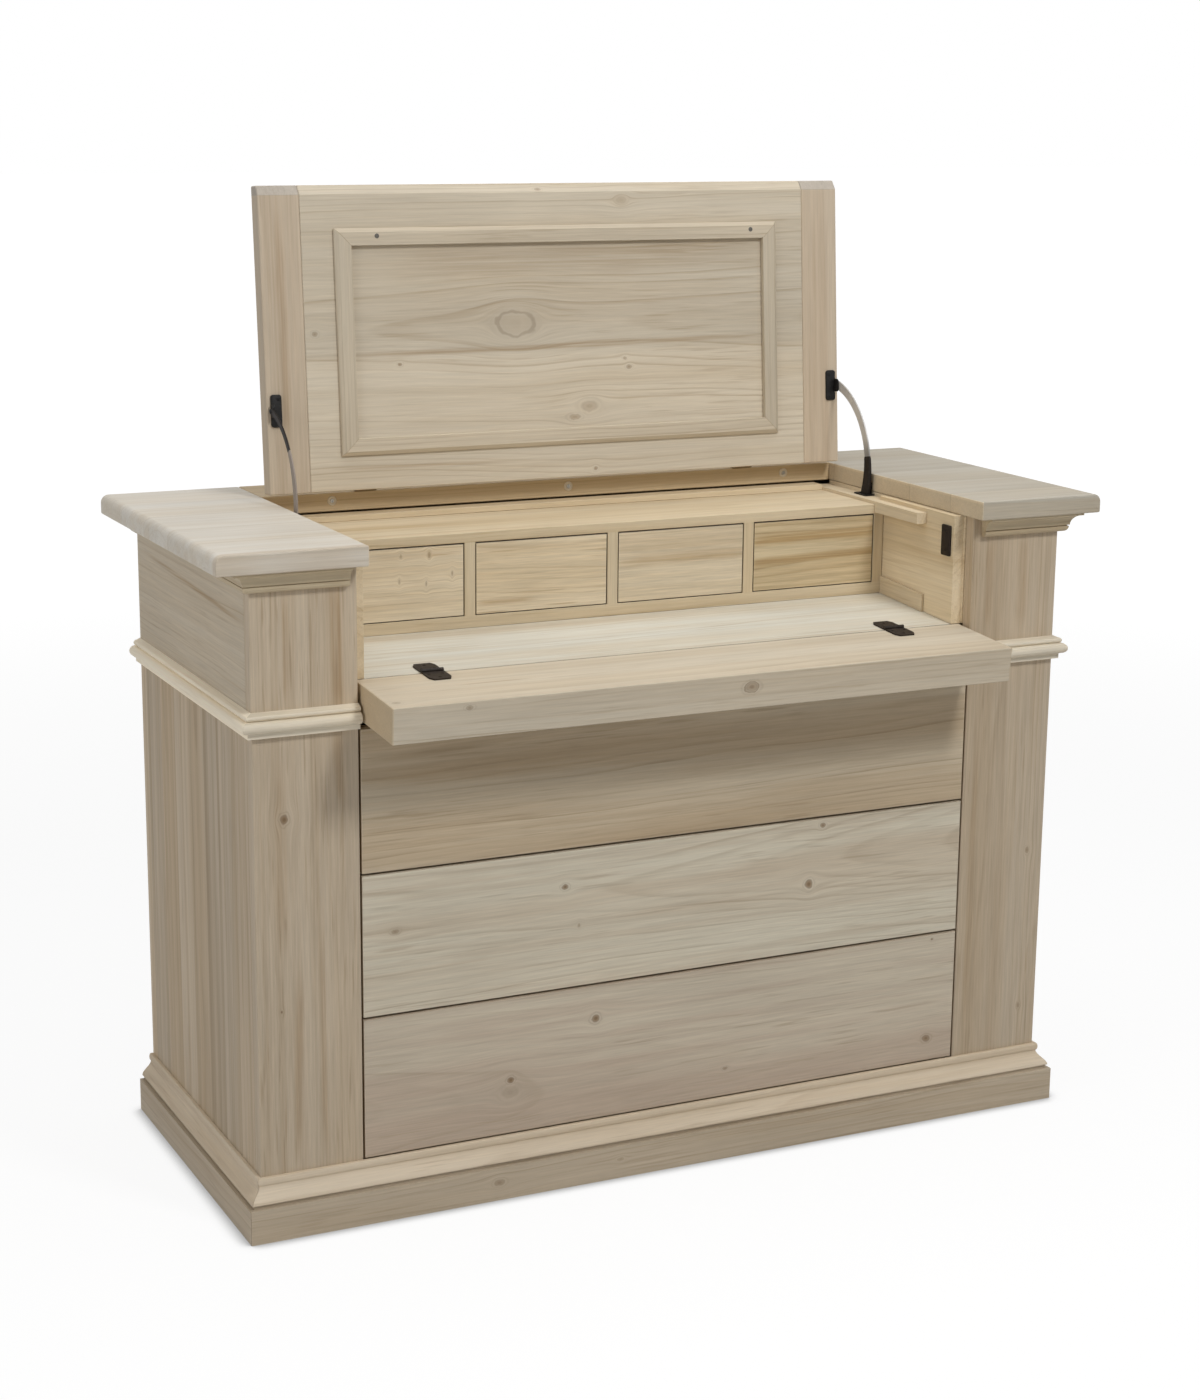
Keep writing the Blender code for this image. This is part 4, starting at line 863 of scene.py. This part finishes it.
def stay_steel(name, side, colours, gloss, metallic):
    """Steel brushed along an arc about the lid's axis. The right strip's shoe at its foot is black, with
    painted shade darkening the steel just above it; the left strip's upper end is painted black, painted
    shade.
    """
    material, g, shader = new_material(name)
    own = own_point(g, LID_SPACE)
    x, y, z = g.split(own)
    angle = g.math("ARCTAN2", g.times(y, -1.0), z)
    brushed = g.join(g.times(angle, 0.05), g.times(g.length(y, z), 14.0), g.times(x, 14.0))
    steel = g.group(SCUFF, Point=brushed, Scale=220.0, Ground=colours[0], Rubbed=colours[1], Amount=0.8,
                    Gloss=gloss)
    black = g.group(SCUFF, Point=own, Scale=METAL_GRAIN, Ground=SHOE_BLACK_AND_SHADE[0], Rubbed=SHOE_BLACK_AND_SHADE[1],
                    Amount=0.5, Gloss=0.60)
    if side == "right":
        # The real black shoe, with a ramp of painted shade above it
        shoe_and_shade = g.smooth(angle, SHOE_START - 0.30, SHOE_START, 0.0, 0.55)
        shoe_and_shade = g.most(shoe_and_shade, g.above(angle, SHOE_START))
    else:
        # Painted shade: the left strip's upper end painted black
        shoe_and_shade = g.below(angle, SHOE_END)
    g.put(shader.inputs["Base Color"], g.mix(shoe_and_shade, steel["Color"], black["Color"]))
    g.put(shader.inputs["Roughness"], g.mix_value(shoe_and_shade, steel["Roughness"], black["Roughness"]))
    fine_bump(g, shader, steel["Height"], METAL_DEPTH, 0.3)
    g.put(shader.inputs["Metallic"], g.times(g.minus(1.0, shoe_and_shade), metallic))
    shader.inputs["Specular IOR Level"].default_value = STRIP_SHINE
    return material


def ring_at(bm, space, points, level):
    """A ring of points at one height of a frame."""
    return [bm.verts.new(space @ Vector((x, y, level))) for x, y in points]


def skin(bm, near, far):
    """Faces between two rings of as many points."""
    for i in range(len(near)):
        j = (i + 1) % len(near)
        bm.faces.new((near[i], near[j], far[j], far[i]))


def circle(count, radius):
    angles = [2 * math.pi * i / count for i in range(count)]
    return [(radius * math.cos(angle), radius * math.sin(angle)) for angle in angles]


def turned_piece(bm, space, profile, segments=28):
    """A profile of (radius, height) turned about the frame's own Z axis; it may start and end on the axis."""
    rings = [ring_at(bm, space, circle(segments, radius) if radius else [(0.0, 0.0)], height)
             for radius, height in profile]
    for near, far in zip(rings, rings[1:]):
        if len(near) == len(far):
            skin(bm, near, far)
            continue
        for i in range(segments):
            j = (i + 1) % segments
            bm.faces.new((near[0], far[j], far[i]) if len(near) == 1 else (near[i], near[j], far[0]))


def screw_head(bm, space, radius, height):
    """A countersunk head with a cross recess, its face towards the frame's own Z axis."""
    arm, half = radius * 0.58, radius * 0.13
    cross = [(arm, -half), (arm, half), (half, half), (half, arm), (-half, arm), (-half, half), (-arm, half),
             (-arm, -half), (-half, -half), (-half, -arm), (half, -arm), (half, -half)]
    base = ring_at(bm, space, circle(24, radius), 0.0)
    brow = ring_at(bm, space, circle(24, radius), height * 0.5)
    face = ring_at(bm, space, circle(24, radius * 0.86), height)
    rim = ring_at(bm, space, cross, height)
    floor = ring_at(bm, space, cross, height * 0.05)
    bm.faces.new(list(reversed(base)))
    for low, high in ((base, brow), (brow, face), (rim, floor)):
        skin(bm, low, high)
    bm.faces.new(floor)
    edges = [bm.edges.get(pair) for ring in (face, rim) for pair in zip(ring, ring[1:] + ring[:1])]
    bmesh.ops.triangle_fill(bm, edges=edges, use_beauty=True)


def rounded_plate(bm, space, low, high, radius, thick, rim):
    """A flat plate in the frame's own XY with rounded corners, its rim eased towards the frame's Z axis."""
    centres = ((high[0] - radius, high[1] - radius), (low[0] + radius, high[1] - radius),
               (low[0] + radius, low[1] + radius), (high[0] - radius, low[1] + radius))

    def outline(inset):
        turn = radius - inset
        points = []
        for quarter, (x, y) in enumerate(centres):
            for i in range(7):
                angle = math.pi / 2 * (quarter + i / 6)
                points.append((x + turn * math.cos(angle), y + turn * math.sin(angle)))
        return points

    steps = ((0.0, 0.0), (0.0, thick - rim), (rim * 0.3, thick - rim * 0.3), (rim, thick))
    rings = [ring_at(bm, space, outline(inset), level) for inset, level in steps]
    for near, far in zip(rings, rings[1:]):
        skin(bm, near, far)
    bm.faces.new(list(reversed(rings[0])))
    bm.faces.new(rings[-1])


def plate_between(bm, space, face, a, b, radius, thick, rim):
    """A rounded plate on a frame's own XY between two corners given in another space."""
    local = face.inverted() @ space
    a, b = local @ Vector(a), local @ Vector(b)
    low, high = (min(a.x, b.x), min(a.y, b.y)), (max(a.x, b.x), max(a.y, b.y))
    rounded_plate(bm, face, low, high, radius, thick, rim)


def new_piece(name, bm, material, body):
    bmesh.ops.recalc_face_normals(bm, faces=bm.faces)
    mesh = bpy.data.meshes.new(name)
    bm.to_mesh(mesh)
    bm.free()
    mesh.materials.append(material)
    mesh.shade_smooth()
    mesh.set_sharp_from_angle(angle=math.radians(38))
    obj = bpy.data.objects.new(name, mesh)
    bpy.context.scene.collection.objects.link(obj)
    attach(obj, body)
    return obj


def facing(place, normal):
    """A frame at a place, with its Z axis along a normal."""
    turn = Vector(normal).to_track_quat("Z", "Y").to_matrix().to_4x4()
    return Matrix.Translation(Vector(place)) @ turn


def eased(share):
    share = min(1.0, max(0.0, share))
    return share * share * (3 - 2 * share)


def left_section(angle, start, end):
    """Half the width and thickness of the left strip: narrow where it leaves the lid and wider below."""
    widening = eased((angle - start) / (end - start) / 0.30 - 1.17)
    return 0.0045 + 0.0027 * widening, STRIP_THICK


def right_section(angle, start, end):
    """Half the width and thickness of the right strip, with a tapered shoe at its foot."""
    if angle < SHOE_START:
        return 0.0076, STRIP_THICK
    share = min(1.0, (angle - SHOE_START) / SHOE_ARC)
    return 0.0080 + 0.0025 * share, 0.0021 + 0.0012 * share


def eased_stay(side, section, material):
    """A stay of the lid with eased edges, on the CAD arm's own arc."""
    inverse = LID_SPACE.inverted()
    points = [inverse @ v.co for v in NODES[f"stay_arm_{side}"].data.vertices]
    angles = [math.atan2(-p.y, p.z) for p in points]
    start, end = min(angles), max(angles)
    middle_x = (min(p.x for p in points) + max(p.x for p in points)) / 2
    bm = bmesh.new()
    rings = []
    for i in range(STAY_STEPS + 1):
        angle = start + (end - start) * i / STAY_STEPS
        half, thick = section(angle, start, end)
        ease = thick * STRIP_EASE
        quarter = ((half, thick - ease), (half - ease, thick))
        outline = [*quarter, *((-a, b) for a, b in reversed(quarter)), *((-a, -b) for a, b in quarter),
                   *((a, -b) for a, b in reversed(quarter))]
        ring = []
        for radial, across in outline:
            radius = STAY_RADIUS + radial
            point = Vector((middle_x + across, -radius * math.sin(angle), radius * math.cos(angle)))
            ring.append(bm.verts.new(LID_SPACE @ point))
        rings.append(ring)
    for near, far in zip(rings, rings[1:]):
        skin(bm, near, far)
    bm.faces.new(rings[0])
    bm.faces.new(list(reversed(rings[-1])))
    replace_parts(new_piece(f"stay_strip_{side}", bm, material, "lid"), f"stay_arm_{side}")


def dress_metal():
    black = plain_metal("blackened steel", BLACK_STEEL, 0.52, 0.0)
    brown = plain_metal("browned steel", BROWN_STEEL, 0.52, 0.0)
    bronzed = plain_metal("bronzed steel", BRONZED_STEEL, 0.45, 0.5)
    for side in ("left", "right"):
        dress(f"stay_flange_{side}", black)
        for leaf in ("flap_hinge_board", "flap_hinge_flap"):
            dress(f"{leaf}_{side}", brown)
        for leaf in ("lid_hinge_rail", "lid_hinge_lid"):
            dress(f"{leaf}_{side}", bronzed)
    eased_stay("left", left_section, stay_steel("left stay strip", "left", LEFT_STRIP_SHADED_STEEL, 0.60, 0.1))
    eased_stay("right", right_section, stay_steel("right stay strip", "right", RIGHT_STRIP_STEEL, 0.42, 0.3))
    return black, brown, bronzed


def add_rail_and_frame_screws():
    washers, screws = bmesh.new(), bmesh.new()
    rail_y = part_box("hinge_rail")[0].y
    for x in RAIL_SCREW_PLACES:
        place = facing((x, rail_y, RAIL_SCREW_LEVEL), (0, -1, 0))
        turned_piece(washers, place, WASHER_PROFILE)
        screw_head(screws, place, *RAIL_SCREW)
    fibre, _ = scuffed("pale washer", WASHER_FIBRE, 0.55, 260.0, 0.6)
    new_piece("rail_washers", washers, fibre, "carcass")
    bright = plain_metal("zinc screw", ZINC, 0.38, 0.85, SCREW_GRAIN)
    new_piece("rail_screws", screws, bright, "carcass")
    screws = bmesh.new()
    for x in FRAME_SCREW_PLACES:
        place = LID_SPACE @ facing((x, FRAME_LOW.y, FRAME_SCREW_LEVEL), (0, -1, 0))
        screw_head(screws, place, *FRAME_SCREW)
    dull = plain_metal("dull screw", DULL_STEEL, 0.50, 0.6, SCREW_GRAIN)
    new_piece("frame_screws", screws, dull, "lid")


def add_hinge_screws(brown, bronzed):
    """Three screws in each leaf, from where the leaf runs and which way it faces."""
    leaves = (
        ("flap_hinge_screws_board", "carcass", FLAP_SPACE, "flap_hinge_board", (0, 1, 0), (0, 0, 1)),
        ("flap_hinge_screws_flap", "flap", FLAP_SPACE, "flap_hinge_flap", (0, -1, 0), (0, 0, 1)),
        ("lid_hinge_screws_rail", "carcass", RAIL_SPACE, "lid_hinge_rail", (0, 1, 0), (0, 0, 1)),
        ("lid_hinge_screws_lid", "lid", LID_SPACE, "lid_hinge_lid", (0, 0, 1), (0, 1, 0)),
    )
    for name, body, space, leaf, run, normal in leaves:
        bm = bmesh.new()
        for side in ("left", "right"):
            low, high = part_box(f"{leaf}_{side}")
            middle = (low.x + high.x) / 2
            for aside, reach in LEAF_SCREW_PLACES:
                place = Vector((middle + aside, 0, 0)) + Vector(run) * reach + Vector(normal) * LEAF_TOP
                screw_head(bm, space @ facing(place, normal), *HINGE_SCREW)
        new_piece(name, bm, brown if space is FLAP_SPACE else bronzed, body)


def add_catch_screws(brown):
    low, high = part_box("catch_plate")
    bm = bmesh.new()
    for share in (0.2, 0.8):
        place = (low.x, (low.y + high.y) / 2, low.z + (high.z - low.z) * share)
        screw_head(bm, facing(place, (-1, 0, 0)), *CATCH_SCREW)
    new_piece("catch_screws", bm, brown, "carcass")


def add_plates(black, brown):
    """The lid stays' plates, each with the ear that holds the strip, and the catch plate."""
    for side, name in ((-1, "left"), (1, "right")):
        low, high = own_corners(f"stay_plate_{name}", LID_SPACE)
        bm = bmesh.new()
        face = LID_SPACE @ facing((0.0, high.y, 0.0), (0, -1, 0))
        plate_between(bm, LID_SPACE, face, (low.x, high.y, low.z), high, 0.0042, PLATE_THICK, 0.0009)
        outer = high.x if side > 0 else low.x
        middle = (low.z + high.z) / 2
        ear = LID_SPACE @ facing((outer - side * EAR_THICK, 0.0, 0.0), (side, 0, 0))
        plate_between(bm, LID_SPACE, ear, (outer, low.y, middle - EAR_HALF),
                      (outer, high.y - 0.0004, middle + EAR_HALF), 0.0048, EAR_THICK, 0.0006)
        piece = new_piece(f"stay_plate_rounded_{name}", bm, black, "lid")
        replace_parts(piece, f"stay_plate_{name}")
    low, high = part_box("catch_plate")
    bm = bmesh.new()
    face = facing((high.x, 0.0, 0.0), (-1, 0, 0))
    plate_between(bm, BODY_SPACE, face, (high.x, low.y, low.z), high, 0.0028, high.x - low.x, 0.0006)
    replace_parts(new_piece("catch_plate_rounded", bm, brown, "carcass"), "catch_plate")


def add_stay_screws(black):
    """The stay plates' screws, and the rivet that holds each strip to its ear."""
    screws, rivets = bmesh.new(), bmesh.new()
    for side, name in ((-1, "left"), (1, "right")):
        low, high = own_corners(f"stay_plate_{name}", LID_SPACE)
        inner = high.x if side < 0 else low.x
        for share in (0.13, 0.87):
            place = (inner + side * 0.0048, high.y - PLATE_THICK, low.z + (high.z - low.z) * share)
            screw_head(screws, LID_SPACE @ facing(place, (0, -1, 0)), *PLATE_SCREW)
        place = (side * RIVET_PLACE, low.y + 0.0072, (low.z + high.z) / 2)
        turned_piece(rivets, LID_SPACE @ facing(place, (side, 0, 0)), RIVET_PROFILE, 20)
    new_piece("stay_plate_screws", screws, black, "lid")
    new_piece("stay_rivets", rivets, black, "lid")


def add_fasteners(black, brown, bronzed):
    add_rail_and_frame_screws()
    add_hinge_screws(brown, bronzed)
    add_catch_screws(brown)
    add_plates(black, brown)
    add_stay_screws(black)


CURVED_PIECES = ("base_", "waist_", "cornice_", "top_slab_", "flap_hinge_", "lid_hinge_")


def soft_shading():
    """A modifier that joins the CAD triangles' corners and shades shallow bends as curves."""
    tree = bpy.data.node_groups.new("soft_shading", "GeometryNodeTree")
    tree.interface.new_socket("Geometry", in_out="INPUT", socket_type="NodeSocketGeometry")
    tree.interface.new_socket("Geometry", in_out="OUTPUT", socket_type="NodeSocketGeometry")
    g = Graph(tree)
    merged = g.add("GeometryNodeMergeByDistance")
    merged.inputs["Distance"].default_value = 0.00002
    plain = g.add("GeometryNodeRemoveAttribute")
    plain.inputs["Name"].default_value = "custom_normal"
    smooth = g.add("GeometryNodeSetShadeSmooth", domain="FACE")
    smooth.inputs["Shade Smooth"].default_value = True
    sharp = g.add("GeometryNodeSetShadeSmooth", domain="EDGE")
    sharp.inputs["Shade Smooth"].default_value = False
    bend = g.add("GeometryNodeInputMeshEdgeAngle").outputs["Unsigned Angle"]
    g.put(merged.inputs["Geometry"], g.add("NodeGroupInput").outputs[0])
    g.put(plain.inputs["Geometry"], merged.outputs["Geometry"])
    g.put(smooth.inputs["Geometry"], plain.outputs["Geometry"])
    g.put(sharp.inputs["Geometry"], smooth.outputs["Geometry"])
    g.put(sharp.inputs["Selection"], g.above(bend, math.radians(36)))
    g.put(g.add("NodeGroupOutput").inputs[0], sharp.outputs["Geometry"])
    for name, obj in NODES.items():
        if name.startswith(CURVED_PIECES):
            obj.modifiers.new("soft shading", "NODES").node_group = tree
            obj.modifiers.new("flat faces first", "WEIGHTED_NORMAL").keep_sharp = True


# The studio: light from the world and the lamps, the floor's span and how far the painted contact shadow of
# the part reaches on it
WORLD_LIGHT = 0.22
OVERHEAD_POWER = 40.0
FRONT_POWER = 76.0
LEFT_POWER = 26.0
FLOOR_SPAN = 40.0
FLOOR_PAINTED_SHADOW_REACH = 0.030


def lamp(name, place, target, size, power):
    light = bpy.data.lights.new(name, "AREA")
    light.shape = "RECTANGLE"
    light.size, light.size_y = size
    light.energy = power
    obj = bpy.data.objects.new(name, light)
    bpy.context.scene.collection.objects.link(obj)
    obj.location = place
    obj.rotation_euler = (Vector(target) - Vector(place)).to_track_quat("-Z", "Y").to_euler()


def bright_rays(g):
    """Rays that see the background itself: from the camera, by reflection or through glass."""
    rays = g.add("ShaderNodeLightPath").outputs
    seen = g.most(rays["Is Camera Ray"], rays["Is Glossy Ray"])
    return g.most(seen, rays["Is Transmission Ray"])


def add_stage():
    world = bpy.data.worlds.new("studio")
    bpy.context.scene.world = world
    world.use_nodes = True
    g = Graph(world.node_tree)
    ground = world.node_tree.nodes["Background"]
    ground.inputs["Color"].default_value = (1.0, 1.0, 1.0, 1.0)
    g.put(ground.inputs["Strength"], g.mix_value(bright_rays(g), WORLD_LIGHT, 1.0))
    bm = bmesh.new()
    bmesh.ops.create_grid(bm, x_segments=1, y_segments=1, size=FLOOR_SPAN)
    mesh = bpy.data.meshes.new("studio_floor")
    bm.to_mesh(mesh)
    bm.free()
    floor = bpy.data.objects.new("studio_floor", mesh)
    bpy.context.scene.collection.objects.link(floor)
    material = bpy.data.materials.new("studio floor")
    material.use_nodes = True
    tree = material.node_tree
    tree.nodes.clear()
    g = Graph(tree)
    # The floor's glow is dimmed where the part stands close over it: a painted contact shadow; the faint
    # diffuse part keeps a real shadow
    contact = g.add("ShaderNodeAmbientOcclusion", samples=16)
    contact.inputs["Distance"].default_value = FLOOR_PAINTED_SHADOW_REACH
    at = g.add("ShaderNodeTexCoord").outputs["Object"]
    far = g.smooth(g.vector("LENGTH", at), 2.0, 6.0, 0.90, 1.0)
    shade = g.smooth(contact.outputs["AO"], 0.35, 0.97, 0.30, 1.0)
    glow = g.add("ShaderNodeEmission")
    g.put(glow.inputs["Strength"], g.times(far, shade))
    catch = g.add("ShaderNodeBsdfDiffuse")
    catch.inputs["Color"].default_value = (0.12, 0.12, 0.12, 1.0)
    both = g.add("ShaderNodeAddShader")
    g.put(both.inputs[0], glow.outputs[0])
    g.put(both.inputs[1], catch.outputs[0])
    bounce = g.add("ShaderNodeBsdfDiffuse")
    bounce.inputs["Color"].default_value = (0.72, 0.72, 0.72, 1.0)
    choose = g.add("ShaderNodeMixShader")
    g.put(choose.inputs[0], bright_rays(g))
    g.put(choose.inputs[1], bounce.outputs[0])
    g.put(choose.inputs[2], both.outputs[0])
    g.put(g.add("ShaderNodeOutputMaterial").inputs["Surface"], choose.outputs[0])
    mesh.materials.append(material)
    lamp("overhead softbox", (0.0, 0.1, 3.6), (0.0, 0.1, 0.0), (3.2, 2.4), OVERHEAD_POWER)
    lamp("front softbox", (0.95, -3.05, 3.85), (0.0, -0.2, 0.65), (0.8, 0.8), FRONT_POWER)
    lamp("left softbox", (-3.6, -1.4, 1.9), (0.0, -0.1, 0.7), (1.8, 1.8), LEFT_POWER)


# The camera, fitted to the photograph's edges
CAMERA_PLACE = Vector((-1.74910, -3.56645, 1.62336))
CAMERA_YAW = 0.44912
CAMERA_PITCH = -0.23212
CAMERA_ROLL = 0.00975
CAMERA_LENS = 67.674


def add_camera():
    data = bpy.data.cameras.new("photo_view")
    data.lens = CAMERA_LENS
    data.sensor_width = 36.0
    camera = bpy.data.objects.new("photo_view", data)
    bpy.context.scene.collection.objects.link(camera)
    level = Vector((math.sin(CAMERA_YAW), math.cos(CAMERA_YAW), 0.0))
    right = Vector((math.cos(CAMERA_YAW), -math.sin(CAMERA_YAW), 0.0))
    ahead = level * math.cos(CAMERA_PITCH) + Vector((0.0, 0.0, math.sin(CAMERA_PITCH)))
    up = right.cross(ahead)
    rolled_right = right * math.cos(CAMERA_ROLL) + up * math.sin(CAMERA_ROLL)
    rolled_up = up * math.cos(CAMERA_ROLL) - right * math.sin(CAMERA_ROLL)
    turn = Matrix((rolled_right, rolled_up, -ahead)).transposed()
    camera.matrix_world = Matrix.Translation(CAMERA_PLACE) @ turn.to_4x4()
    bpy.context.scene.camera = camera


dress_carcass()
dress_lid()
dress_flap_and_drawers()
add_fasteners(*dress_metal())
soft_shading()
add_stage()
add_camera()
bpy.context.scene.view_settings.view_transform = "Standard"
